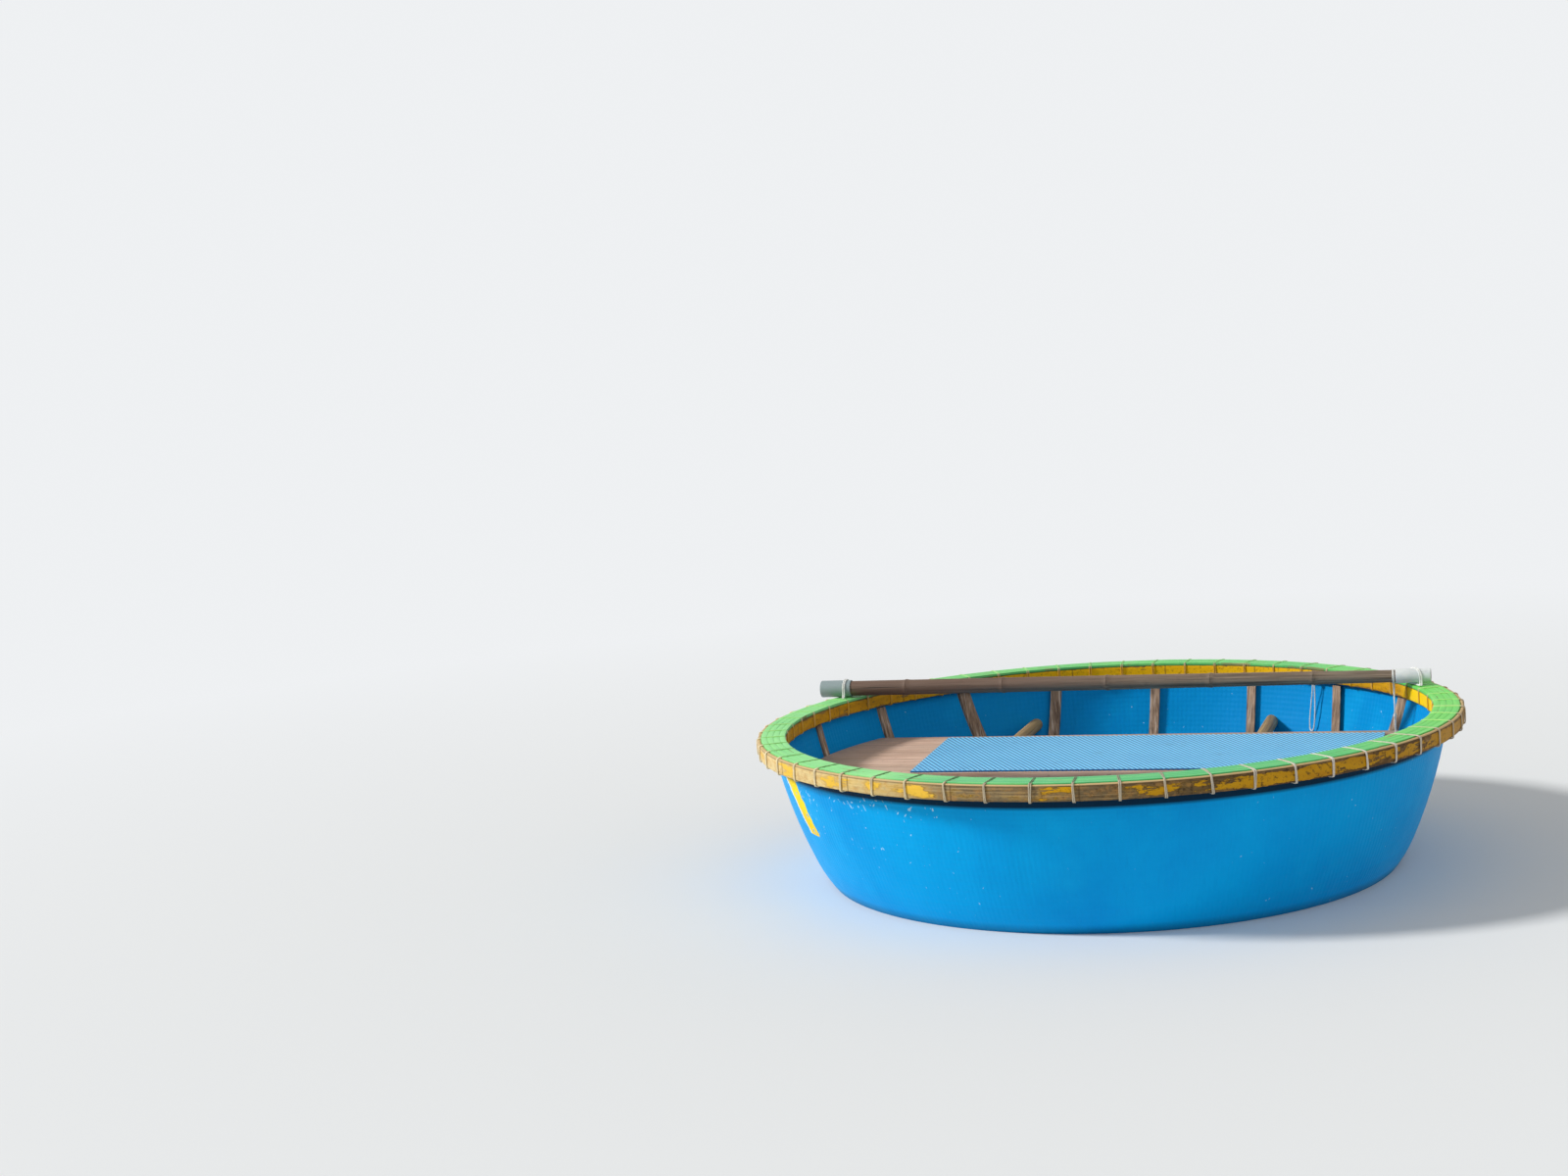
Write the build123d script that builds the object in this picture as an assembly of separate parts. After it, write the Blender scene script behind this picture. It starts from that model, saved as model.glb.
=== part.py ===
from build123d import *
import math
import os

# A round basket boat, empty and afloat
# Millimetres. The origin is on the waterline under the middle of the rim, +X runs along
# the cross pole to its thin end, +Y goes to the side that the pole is tied on, +Z is up.

os.makedirs("parts", exist_ok=True)

# Fits
SEAT = 0.3                  # air left between curved pieces that bear on each other
PAST = 20.0                 # how far a cutting shape runs past what it cuts

# Hull, a coated basket wall whose outline is three arcs, tangent to each other
WALL = 12.0
WALL_TOP_HEIGHT = 440.0     # of the wall's cut edge above the waterline
WALL_TOP_RADIUS = 1001.0    # outside
TOP_FLARE = 9.5             # degrees off upright at the cut edge
SIDE_RADIUS = 1500.0
BILGE_FLARE = 24.0          # degrees off upright where side and bilge meet
BILGE_RADIUS = 370.0
BOTTOM_FLARE = 80.0         # degrees off upright where bilge and bottom meet

# Rim, two hoop bundles that pinch the wall under a crown of flat laths
OUTER_BAND_THICKNESS = 11.0
OUTER_BAND_LIP = 6.0        # the outer band stands this far above the wall's edge
OUTER_BAND_DEPTH = 39.0     # and reaches this far below it
INNER_BAND_THICKNESS = 10.0
INNER_BAND_DEPTH = 40.0
CORE_DEPTH = 27.0
INNER_CORE_WIDTH = 15.0
OUTER_CORES = 2
OUTER_CORE_WIDTH = 15.0
CROWN_LATHS = 4
CROWN_THICKNESS = 10.0
CROWN_SWELL = 2.2           # how much a lath's middle stands above its edges
CROWN_FLATS = 4             # that its upper face is shaved in
CROWN_GAP = 1.2
EDGE_CUT = 2.0              # cut off the bands' and packing hoops' edges

# Lashings, flat loops of two cords side by side that go round the whole rim
LASHING_SPACING = 112.0
LASHING_CORD = 3.6
LASHING_TURNS = 2
LASHING_HOLE_PLAY = 1.2     # room round the loop where it goes through the wall

# Ribs, split bamboo laths laid across the inside in two layers
RIB_WIDTH = 30.0
RIB_THICKNESS = 7.0
RIB_TURN = -10.2            # degrees from +X to the way the lower laths run
RIB_STEP = 20.0             # degrees between rib ends along the rim
LOWER_RIBS = 5
UPPER_RIBS = 4
RIB_TOP_GAP = 6.0           # below the inner band

# Cross pole, one culm of bamboo that lies on the rim, and its two end sleeves
POLE_BACK = 385.0           # from the middle of the boat to the pole
POLE_LEFT_REACH = 84.8      # past the middle of the rim
POLE_RIGHT_REACH = 14.3
POLE_LEFT_RADIUS = 24.5
POLE_RIGHT_RADIUS = 18.2
POLE_BELLY = 1.5            # how much its middle is thicker than a straight taper
POLE_WALL = 5.0
POLE_BORE_DEPTH = 90.0
POLE_NODES = (-715.0, -390.0, -52.0, 275.0, 590.0)
NODE_SWELL = 2.2
NODE_HALF_LENGTH = 9.0
SLEEVE_LEFT_RADIUS = 27.6
SLEEVE_LENGTH = 103.5
SLEEVE_CUT = 1.2

# Ties that hold the sleeves down on the rim, the right one with its turns under the sleeve too
TIE_CORD = 5.0
TIE_TURNS = 2
TIE_FOOT = 6.0
RIGHT_TIE_FROM_END = 33.0

# Bench, planks on two bamboo bearers that are wedged across the hull, and a ridged mat
BENCH_HEIGHT = 300.0        # top of the planks
BENCH_FRONT = -155.0
BENCH_BACK = 440.0
BENCH_PLANKS = 5
PLANK_THICKNESS = 18.0
PLANK_GAP = 3.0
PLANK_END_GAP = 4.0         # from the ribs to the planks' scribed ends
BEARER_RADIUS = 23.0
BEARER_OFFSET = 400.0
BEARER_BORE = 15.0
BEARER_BORE_DEPTH = 70.0
MAT_THICKNESS = 6.0
MAT_CORNERS = ((-570.0, -148.0), (805.0, -146.0), (795.0, 380.0), (-590.0, 394.0))

# Stay, a tight cord from the pole to the end of the back plank
STAY_CORD = 5.0
STAY_FROM_SLEEVE = 7.5

# Hanging loop, a thin line that hangs from the inside of the rim
LOOP_CORD = 4.0
LOOP_TURN = 54.7            # degrees from +X, between two lashings
LOOP_KNOT_RADIUS = 6.5
LOOP_KNOT_LENGTH = 15.0
LOOP_ROUTE = (              # along the rim, down from the knot and in from the rim
    (-3.5, 0.0, 0.0), (-4.5, 24.0, 1.0), (-6.0, 56.0, 4.0), (-8.5, 92.0, 9.0),
    (-10.0, 128.0, 15.0), (-7.0, 157.0, 20.0), (7.0, 157.0, 20.0), (10.5, 128.0, 15.0),
    (10.5, 92.0, 9.0), (8.0, 56.0, 4.0), (5.0, 24.0, 1.0), (3.5, 0.0, 0.0),
)

# Paddle, laid across the bearers in front of the bench
PADDLE_LENGTH = 1520.0
PADDLE_FRONT = -345.0
PADDLE_SHAFT_RADIUS = 17.0
PADDLE_GRIP_RADIUS = 19.5
PADDLE_GRIP_LENGTH = 60.0
BLADE_LENGTH = 440.0
BLADE_WIDTH = 128.0
BLADE_THICKNESS = 15.0
BLADE_NECK = 120.0


def outward(flare):
    """Unit normal of the outline, as (radius, height), where it leans `flare` degrees."""
    turn = math.radians(flare)
    return math.cos(turn), -math.sin(turn)


def step(point, length, direction):
    return point[0] + length * direction[0], point[1] + length * direction[1]


# Centres of the three arcs, worked out from the cut edge downwards
SIDE_CENTRE = step((WALL_TOP_RADIUS, WALL_TOP_HEIGHT), -SIDE_RADIUS, outward(TOP_FLARE))
BILGE_START = step(SIDE_CENTRE, SIDE_RADIUS, outward(BILGE_FLARE))
BILGE_CENTRE = step(BILGE_START, -BILGE_RADIUS, outward(BILGE_FLARE))
BOTTOM_START = step(BILGE_CENTRE, BILGE_RADIUS, outward(BOTTOM_FLARE))
BOTTOM_RADIUS = BOTTOM_START[0] / outward(BOTTOM_FLARE)[0]
BOTTOM_CENTRE = step(BOTTOM_START, -BOTTOM_RADIUS, outward(BOTTOM_FLARE))


def side_radius(inset, height):
    """Radius of the wall, `inset` inside its outer face, at a height on the side arc."""
    reach = SIDE_RADIUS - inset
    rise = SIDE_CENTRE[1] - height
    return SIDE_CENTRE[0] + math.sqrt(reach * reach - rise * rise)


# Rim sizes that follow from the ones above, from the wall inwards and outwards
RIM_HEIGHT = WALL_TOP_HEIGHT + CROWN_THICKNESS
CORE_BOTTOM = WALL_TOP_HEIGHT - CORE_DEPTH
INNER_CORE_OUTER = side_radius(WALL, CORE_BOTTOM) - SEAT
INNER_CORE_INNER = INNER_CORE_OUTER - INNER_CORE_WIDTH
INNER_BAND_OUTER = INNER_CORE_INNER - SEAT
RIM_INNER_RADIUS = INNER_BAND_OUTER - INNER_BAND_THICKNESS
OUTER_CORE_INNER = WALL_TOP_RADIUS + SEAT
OUTER_BAND_INNER = OUTER_CORE_INNER + OUTER_CORES * (OUTER_CORE_WIDTH + SEAT)
RIM_OUTER_RADIUS = OUTER_BAND_INNER + OUTER_BAND_THICKNESS
RIM_MIDDLE_RADIUS = (RIM_INNER_RADIUS + RIM_OUTER_RADIUS) / 2
INNER_BAND_BOTTOM = WALL_TOP_HEIGHT - INNER_BAND_DEPTH
OUTER_BAND_BOTTOM = WALL_TOP_HEIGHT - OUTER_BAND_DEPTH
CROWN_OUTER_RADIUS = OUTER_BAND_INNER - CROWN_GAP
LASHING_WIDTH = LASHING_TURNS * LASHING_CORD
LASHING_LOW = INNER_BAND_BOTTOM - SEAT
LASHING_CORNER = EDGE_CUT + SEAT

# Places of the pole, the ribs and the bench that follow from the rim
POLE_HEIGHT = RIM_HEIGHT + SEAT + SLEEVE_LEFT_RADIUS
SLEEVE_RIGHT_RADIUS = SLEEVE_LEFT_RADIUS - TIE_CORD - 2 * SEAT
POLE_CROSSING = math.sqrt(RIM_MIDDLE_RADIUS**2 - POLE_BACK**2)
POLE_LEFT_END = -(POLE_CROSSING + POLE_LEFT_REACH)
POLE_RIGHT_END = POLE_CROSSING + POLE_RIGHT_REACH
STAY_OFFSET = POLE_RIGHT_END - SLEEVE_LENGTH - STAY_FROM_SLEEVE
RIB_TOP = INNER_BAND_BOTTOM - RIB_TOP_GAP
BEARER_HEIGHT = BENCH_HEIGHT - PLANK_THICKNESS - SEAT - BEARER_RADIUS


def arc_points(centre, radius, start, end):
    """Start, middle and end of one arc of the outline, as points in the XZ plane."""
    points = []
    for flare in (start, (start + end) / 2, end):
        r, z = step(centre, radius, outward(flare))
        points.append((r, 0, z))
    return points


def bowl(inset, top):
    """The solid that fills the hull's outline, `inset` inside its outer face, up to `top`."""
    flare = math.degrees(math.asin((SIDE_CENTRE[1] - top) / (SIDE_RADIUS - inset)))
    side = arc_points(SIDE_CENTRE, SIDE_RADIUS - inset, flare, BILGE_FLARE)
    bilge = arc_points(BILGE_CENTRE, BILGE_RADIUS - inset, BILGE_FLARE, BOTTOM_FLARE)
    bottom = arc_points(BOTTOM_CENTRE, BOTTOM_RADIUS - inset, BOTTOM_FLARE, 90)
    axis_bottom = (0, 0, BOTTOM_CENTRE[1] - BOTTOM_RADIUS + inset)
    edges = [
        Edge.make_three_point_arc(*side),
        Edge.make_three_point_arc(side[2], bilge[1], bilge[2]),
        Edge.make_three_point_arc(bilge[2], bottom[1], axis_bottom),
        Edge.make_line(axis_bottom, (0, 0, top)),
        Edge.make_line((0, 0, top), side[0]),
    ]
    return revolve(Face(Wire(edges)), Axis.Z)


def turned(outline):
    """A solid turned round the Z axis from the corners of its section, (height, radius)."""
    points = [(radius, 0, height) for height, radius in outline]
    return revolve(Face(Wire.make_polygon(points, close=True)), Axis.Z)


def hoop(inner, outer, bottom, top, edge=EDGE_CUT):
    """A hoop of rectangular section with its edges cut off, round the Z axis."""
    section = [
        (inner, bottom + edge), (inner + edge, bottom), (outer - edge, bottom),
        (outer, bottom + edge), (outer, top - edge), (outer - edge, top),
        (inner + edge, top), (inner, top - edge),
    ]
    return turned([(height, radius) for radius, height in section])


def crowned_hoop(inner, outer, bottom, top, swell):
    """A flat lath bent to a hoop, its upper face shaved in flats that rise to its middle."""
    section = [(bottom, inner), (bottom, outer)]
    for index in range(CROWN_FLATS + 1):
        share = index / CROWN_FLATS
        height = top - swell * (2 * share - 1) ** 2
        section.append((height, outer + share * (inner - outer)))
    return turned(section)


def lashing_turns():
    """Directions of the lashings, evenly spread on each side of the pole's crossings."""
    turns = []
    crossing = math.degrees(math.asin(POLE_BACK / RIM_MIDDLE_RADIUS))
    # first direction and sweep of the far stretch, then of the near one
    for first, sweep in ((crossing, 180 - 2 * crossing), (180 - crossing, 180 + 2 * crossing)):
        count = round(math.radians(sweep) * RIM_MIDDLE_RADIUS / LASHING_SPACING)
        for index in range(count):
            turns.append(first + sweep * (index + 0.5) / count)
    return turns


def lashing_loop():
    """One lashing in the XZ plane, round both bands and through the wall."""
    inner = RIM_INNER_RADIUS - SEAT
    outer = RIM_OUTER_RADIUS + SEAT
    top = RIM_HEIGHT + SEAT
    width = outer - inner
    height = top - LASHING_LOW
    middle = Pos((inner + outer) / 2, (top + LASHING_LOW) / 2)
    cord = LASHING_CORD
    loop = RectangleRounded(width + 2 * cord, height + 2 * cord, LASHING_CORNER + cord)
    loop -= RectangleRounded(width, height, LASHING_CORNER)
    return extrude(Plane.XZ * (middle * loop), LASHING_WIDTH / 2, both=True)


def lashing_hole():
    """The slot that one lashing goes through in the wall."""
    bottom = LASHING_LOW - LASHING_CORD - LASHING_HOLE_PLAY
    top = LASHING_LOW + LASHING_HOLE_PLAY
    start = side_radius(WALL, bottom) - PAST
    end = side_radius(0, top) + PAST
    slot = Box(end - start, LASHING_WIDTH + 2 * LASHING_HOLE_PLAY, top - bottom)
    return Pos((start + end) / 2, 0, (bottom + top) / 2) * slot


def make_hull():
    shell = bowl(0, WALL_TOP_HEIGHT) - bowl(WALL, WALL_TOP_HEIGHT)
    hole = lashing_hole()
    return shell - [Rot(0, 0, turn) * hole for turn in lashing_turns()]


def make_outer_cores():
    """Packing hoops between the wall and the outer band."""
    cores = []
    for index in range(OUTER_CORES):
        inner = OUTER_CORE_INNER + index * (OUTER_CORE_WIDTH + SEAT)
        outer = inner + OUTER_CORE_WIDTH
        cores.append(hoop(inner, outer, CORE_BOTTOM, WALL_TOP_HEIGHT, OUTER_CORE_WIDTH / 4))
    return cores


def make_inner_core():
    return hoop(INNER_CORE_INNER, INNER_CORE_OUTER, CORE_BOTTOM, WALL_TOP_HEIGHT)


def make_crown():
    """Flat laths that cap the wall and both bundles."""
    pitch = (CROWN_OUTER_RADIUS - RIM_INNER_RADIUS + CROWN_GAP) / CROWN_LATHS
    laths = []
    for index in range(CROWN_LATHS):
        inner = RIM_INNER_RADIUS + index * pitch
        outer = inner + pitch - CROWN_GAP
        laths.append(crowned_hoop(inner, outer, WALL_TOP_HEIGHT, RIM_HEIGHT, CROWN_SWELL))
    return laths


def make_ribs():
    """The lower laths lie on the hull, and the upper ones run across them."""
    ribs = []
    lower_inset = WALL + SEAT
    upper_inset = lower_inset + RIB_THICKNESS + SEAT
    # how many laths, which way they run, and how far in from the hull's outer face
    layers = ((LOWER_RIBS, RIB_TURN, lower_inset), (UPPER_RIBS, RIB_TURN + 90, upper_inset))
    for count, turn, inset in layers:
        layer = bowl(inset, RIB_TOP) - bowl(inset + RIB_THICKNESS, RIB_TOP)
        for index in range(count):
            spread = (index - (count - 1) / 2) * RIB_STEP
            offset = side_radius(inset, RIB_TOP) * math.sin(math.radians(spread))
            slab = Box(2 * WALL_TOP_RADIUS, RIB_WIDTH, 4 * WALL_TOP_HEIGHT)
            ribs.append(layer & (Rot(0, 0, turn) * Pos(0, offset, 0) * slab))
    return ribs


def pole_radius(place):
    """Radius of the tapered pole at a place along X."""
    share = (place - POLE_LEFT_END) / (POLE_RIGHT_END - POLE_LEFT_END)
    belly = POLE_BELLY * (1 - (2 * share - 1) ** 2)
    return POLE_LEFT_RADIUS + share * (POLE_RIGHT_RADIUS - POLE_LEFT_RADIUS) + belly


def on_pole(shape):
    """A shape made along +Z, laid along the pole with its foot at x = 0."""
    return Pos(0, POLE_BACK, POLE_HEIGHT) * Rot(0, 90, 0) * shape


def make_pole():
    outline = [(POLE_LEFT_END, 0), (POLE_LEFT_END, pole_radius(POLE_LEFT_END))]
    for node in POLE_NODES:
        for shift, swell in ((-NODE_HALF_LENGTH, 0), (0, NODE_SWELL), (NODE_HALF_LENGTH, 0)):
            outline.append((node + shift, pole_radius(node + shift) + swell))
    outline.append((POLE_RIGHT_END, pole_radius(POLE_RIGHT_END)))
    outline.append((POLE_RIGHT_END, 0))
    pole = turned(outline)
    for end in (POLE_LEFT_END, POLE_RIGHT_END):
        bore = Cylinder(pole_radius(end) - POLE_WALL, 2 * POLE_BORE_DEPTH)
        pole -= Pos(0, 0, end) * bore
    return on_pole(pole)


def make_sleeve(end, side, radius):
    """A plastic sleeve over one end of the pole, open at both ends."""
    inner_end = end + side * SLEEVE_LENGTH
    bore = max(pole_radius(end), pole_radius(inner_end)) + SEAT
    low = min(end, inner_end)
    high = low + SLEEVE_LENGTH
    edge = SLEEVE_CUT
    section = [
        (low, bore), (low, radius - edge), (low + edge, radius),
        (high - edge, radius), (high, radius - edge), (high, bore),
    ]
    return on_pole(turned(section))


def make_tie(place, sleeve_radius):
    """Two turns of cord over a sleeve, with their feet on the rim."""
    inner = sleeve_radius + SEAT
    outer = inner + TIE_CORD
    foot_low = RIM_HEIGHT + SEAT - POLE_HEIGHT
    foot_top = foot_low + TIE_CORD
    # where the sleeve stands clear of the rim, the turns pass under it as well
    under = foot_top if sleeve_radius < -foot_top else foot_low - PAST
    # the tie's outline in the plane across the pole
    arch = Circle(outer) + Pos(0, foot_low / 2) * Rectangle(2 * outer, -foot_low)
    feet = Rectangle(2 * (outer + TIE_FOOT), TIE_CORD)
    arch += Pos(0, (foot_low + foot_top) / 2) * feet
    arch -= Circle(inner) + Pos(0, under / 2) * Rectangle(2 * inner, -under)
    arch &= Pos(0, foot_low + outer * 2) * Rectangle(8 * outer, outer * 4)
    width = TIE_TURNS * TIE_CORD
    band = extrude(Plane.YZ * arch, width / 2, both=True)
    return Pos(place, POLE_BACK, POLE_HEIGHT) * band


def make_planks():
    """Planks along X whose ends are scribed to the inside of the ribs."""
    inset = WALL + 3 * SEAT + 2 * RIB_THICKNESS + PLANK_END_GAP
    room = bowl(inset, WALL_TOP_HEIGHT)
    pitch = (BENCH_BACK - BENCH_FRONT + PLANK_GAP) / BENCH_PLANKS
    planks = []
    for index in range(BENCH_PLANKS):
        plank = Box(2 * WALL_TOP_RADIUS, pitch - PLANK_GAP, PLANK_THICKNESS)
        middle = BENCH_FRONT + (index + 0.5) * pitch - PLANK_GAP / 2
        plank = Pos(0, middle, BENCH_HEIGHT - PLANK_THICKNESS / 2) * plank
        planks.append(plank & room)
    return planks


def make_bearer(side):
    """A bamboo bearer along Y, wedged against the hull at both ends."""
    half = math.sqrt(side_radius(WALL, BEARER_HEIGHT) ** 2 - BEARER_OFFSET**2)
    bearer = Cylinder(BEARER_RADIUS, 2 * (half + PAST))
    for end in (-half, half):
        bearer -= Pos(0, 0, end) * Cylinder(BEARER_BORE, 2 * BEARER_BORE_DEPTH)
    bearer = Pos(side * BEARER_OFFSET, 0, BEARER_HEIGHT) * Rot(90, 0, 0) * bearer
    return bearer & bowl(WALL + SEAT, WALL_TOP_HEIGHT)


def make_mat():
    outline = make_face(Polyline(*MAT_CORNERS, close=True))
    return Pos(0, 0, BENCH_HEIGHT) * extrude(outline, MAT_THICKNESS)


def make_stay():
    """The tight cord, from the turns round the pole down to the back plank."""
    low = BENCH_HEIGHT + SEAT
    high = POLE_HEIGHT - pole_radius(STAY_OFFSET)
    cord = Pos(STAY_OFFSET, POLE_BACK, (low + high) / 2) * Cylinder(STAY_CORD / 2, high - low)
    return cord


def loop_point(along, down, inward):
    """A point of the hanging loop, by its place along the rim, below the knot and inwards."""
    turn = math.radians(LOOP_TURN)
    reach = RIM_INNER_RADIUS - SEAT - LOOP_KNOT_RADIUS - inward
    x = reach * math.cos(turn) - along * math.sin(turn)
    y = reach * math.sin(turn) + along * math.cos(turn)
    return x, y, LASHING_LOW - down


def corner_radii(points):
    """Radius of each corner's arc: as large as the shorter of its two runs allows."""
    radii = []
    for before, here, after in zip(points, points[1:], points[2:]):
        run_in = Vector(*here) - Vector(*before)
        run_out = Vector(*after) - Vector(*here)
        shorter = min(run_in.length, run_out.length)
        turn = math.radians(run_in.get_angle(run_out))
        radii.append(0.45 * shorter / math.tan(turn / 2))
    return radii


def make_hanging_loop():
    points = [loop_point(along, down, inward) for along, down, inward in LOOP_ROUTE]
    radii = corner_radii(points)
    print("hanging loop radii", [round(radius, 1) for radius in radii])
    path = FilletPolyline(*points, radius=radii)
    start = Plane(origin=path @ 0, z_dir=path % 0)
    tube = sweep(start * Circle(LOOP_CORD / 2), path=path)
    print("hanging loop length", round(path.length, 1))
    print("hanging loop volume share", round(tube.volume / (path.length * math.pi * LOOP_CORD**2 / 4), 4))
    return tube


def make_loop_knot():
    """The hitch at the rim that both ends of the hanging loop come out of."""
    x, y, top = loop_point(0, 0, 0)
    knot = Cylinder(LOOP_KNOT_RADIUS, LOOP_KNOT_LENGTH)
    knot = chamfer(knot.edges().group_by(Axis.Z)[-1], LOOP_KNOT_RADIUS / 4)
    return Pos(x, y, top + SEAT + LOOP_KNOT_LENGTH / 2) * knot


def make_paddle_shaft():
    """The round shaft, along +X from its swollen grip end to the blade's root."""
    low = -PADDLE_LENGTH / 2
    root = low + PADDLE_LENGTH - BLADE_LENGTH
    outline = [
        (low, 0),
        (low, PADDLE_GRIP_RADIUS),
        (low + PADDLE_GRIP_LENGTH, PADDLE_SHAFT_RADIUS),
        (root, PADDLE_SHAFT_RADIUS),
        (root, 0),
    ]
    return on_bearers(turned(outline))


def on_bearers(shape):
    """A paddle piece made along +Z, laid along X with shaft and blade on the bearers."""
    shaft, blade = PADDLE_SHAFT_RADIUS, BLADE_THICKNESS / 2
    height = BEARER_HEIGHT + BEARER_RADIUS + SEAT + (shaft + blade) / 2
    tilt = math.degrees(math.atan((shaft - blade) / (2 * BEARER_OFFSET)))
    return Pos(0, PADDLE_FRONT, height) * Rot(0, 90 + tilt, 0) * shape


def make_paddle_blade():
    """The blade, widening from the shaft to full width, with a rounded tip."""
    root = PADDLE_LENGTH / 2 - BLADE_LENGTH
    tip = PADDLE_LENGTH / 2
    half = BLADE_WIDTH / 2
    round_start = tip - half
    outline = [
        Edge.make_line((0, -PADDLE_SHAFT_RADIUS, root), (0, -half, root + BLADE_NECK)),
        Edge.make_line((0, -half, root + BLADE_NECK), (0, -half, round_start)),
        Edge.make_three_point_arc((0, -half, round_start), (0, 0, tip), (0, half, round_start)),
        Edge.make_line((0, half, round_start), (0, half, root + BLADE_NECK)),
        Edge.make_line((0, half, root + BLADE_NECK), (0, PADDLE_SHAFT_RADIUS, root)),
        Edge.make_line((0, PADDLE_SHAFT_RADIUS, root), (0, -PADDLE_SHAFT_RADIUS, root)),
    ]
    blade = extrude(Face(Wire(outline)), BLADE_THICKNESS / 2, both=True)
    return on_bearers(blade)


def build():
    """Every node of the boat by name."""
    nodes = {"hull_shell": make_hull()}
    for index, rib in enumerate(make_ribs(), 1):
        nodes[f"rib_{index:02d}"] = rib
    nodes["outer_band"] = hoop(
        OUTER_BAND_INNER, RIM_OUTER_RADIUS, OUTER_BAND_BOTTOM, WALL_TOP_HEIGHT + OUTER_BAND_LIP
    )
    nodes["inner_band"] = hoop(
        RIM_INNER_RADIUS, INNER_BAND_OUTER, INNER_BAND_BOTTOM, WALL_TOP_HEIGHT
    )
    for index, core in enumerate(make_outer_cores(), 1):
        nodes[f"outer_core_{index}"] = core
    nodes["inner_core"] = make_inner_core()
    for index, lath in enumerate(make_crown(), 1):
        nodes[f"crown_lath_{index}"] = lath
    loop = lashing_loop()
    nodes["rim_lashings"] = Compound([Rot(0, 0, turn) * loop for turn in lashing_turns()])
    nodes["cross_pole"] = make_pole()
    nodes["sleeve_left"] = make_sleeve(POLE_LEFT_END, 1, SLEEVE_LEFT_RADIUS)
    nodes["sleeve_right"] = make_sleeve(POLE_RIGHT_END, -1, SLEEVE_RIGHT_RADIUS)
    nodes["pole_tie_left"] = make_tie(-POLE_CROSSING, SLEEVE_LEFT_RADIUS)
    nodes["pole_tie_right"] = make_tie(POLE_RIGHT_END - RIGHT_TIE_FROM_END, SLEEVE_RIGHT_RADIUS)
    for index, plank in enumerate(make_planks(), 1):
        nodes[f"bench_plank_{index}"] = plank
    nodes["bearer_left"] = make_bearer(-1)
    nodes["bearer_right"] = make_bearer(1)
    nodes["bench_mat"] = make_mat()
    nodes["bench_stay"] = make_stay()
    nodes["hanging_loop"] = make_hanging_loop()
    nodes["loop_knot"] = make_loop_knot()
    nodes["paddle_shaft"] = make_paddle_shaft()
    nodes["paddle_blade"] = make_paddle_blade()
    return nodes


for name, shape in build().items():
    export_step(shape, f"parts/{name}.step")
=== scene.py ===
import functools
import math
import random

import bpy
from mathutils import Matrix, Vector


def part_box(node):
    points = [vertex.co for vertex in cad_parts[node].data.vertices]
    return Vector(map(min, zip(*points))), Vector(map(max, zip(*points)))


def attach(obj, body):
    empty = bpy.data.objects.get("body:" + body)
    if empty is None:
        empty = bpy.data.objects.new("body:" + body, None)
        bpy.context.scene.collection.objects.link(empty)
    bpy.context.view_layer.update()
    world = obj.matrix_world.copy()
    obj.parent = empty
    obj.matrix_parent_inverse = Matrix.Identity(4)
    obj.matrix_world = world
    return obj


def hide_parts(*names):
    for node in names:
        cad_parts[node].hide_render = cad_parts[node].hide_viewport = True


# A round basket boat afloat: its looks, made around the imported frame
# Metres, in the frame's own axes. The floor lies at the waterline, z = 0.

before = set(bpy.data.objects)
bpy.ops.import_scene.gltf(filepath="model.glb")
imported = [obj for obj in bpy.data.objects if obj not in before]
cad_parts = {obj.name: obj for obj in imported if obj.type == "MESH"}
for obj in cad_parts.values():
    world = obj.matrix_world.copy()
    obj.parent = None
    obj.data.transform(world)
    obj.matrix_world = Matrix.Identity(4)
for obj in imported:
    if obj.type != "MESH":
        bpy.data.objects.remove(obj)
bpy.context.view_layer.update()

MM = 0.001
NEAR = 0.1 * MM             # a vertex this close to a face or an end lies on it
SAME = 0.01 * MM            # vertices this close together are one


# Sizes read from the frame
def radius_of(node):
    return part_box(node)[1].x


def inner_radius_of(node):
    """Smallest distance of a hoop's vertices from the boat's middle."""
    return min(math.hypot(vertex.co.x, vertex.co.y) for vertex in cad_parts[node].data.vertices)


RIM_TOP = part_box("crown_lath_1")[1].z
WALL_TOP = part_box("crown_lath_1")[0].z
RIM_INNER = inner_radius_of("inner_band")
RIM_OUTER = radius_of("outer_band")
BAND_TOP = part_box("outer_band")[1].z
BAND_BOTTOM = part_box("outer_band")[0].z
INNER_BAND_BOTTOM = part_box("inner_band")[0].z
LASHING_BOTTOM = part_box("rim_lashings")[0].z
SLEEVE_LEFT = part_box("sleeve_left")
SLEEVE_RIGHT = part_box("sleeve_right")
POLE_Y = (SLEEVE_LEFT[0].y + SLEEVE_LEFT[1].y) / 2
POLE_Z = (SLEEVE_LEFT[0].z + SLEEVE_LEFT[1].z) / 2
MAT_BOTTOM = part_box("bench_mat")[0].z
MAT_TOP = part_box("bench_mat")[1].z


# Working by hand: selecting, editing and applying
def select_nothing():
    bpy.ops.object.select_all(action="DESELECT")


def only(piece):
    select_nothing()
    piece.select_set(True)
    bpy.context.view_layer.objects.active = piece


def edit(piece):
    only(piece)
    bpy.ops.object.mode_set(mode="EDIT")


def leave():
    bpy.ops.object.mode_set(mode="OBJECT")


def select_mesh():
    """In edit mode, selects the whole mesh."""
    bpy.ops.mesh.select_all(action="SELECT")


def turn_outwards():
    """In edit mode, points every face outwards, and then leaves it."""
    select_mesh()
    bpy.ops.mesh.normals_make_consistent(inside=False)
    leave()


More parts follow.
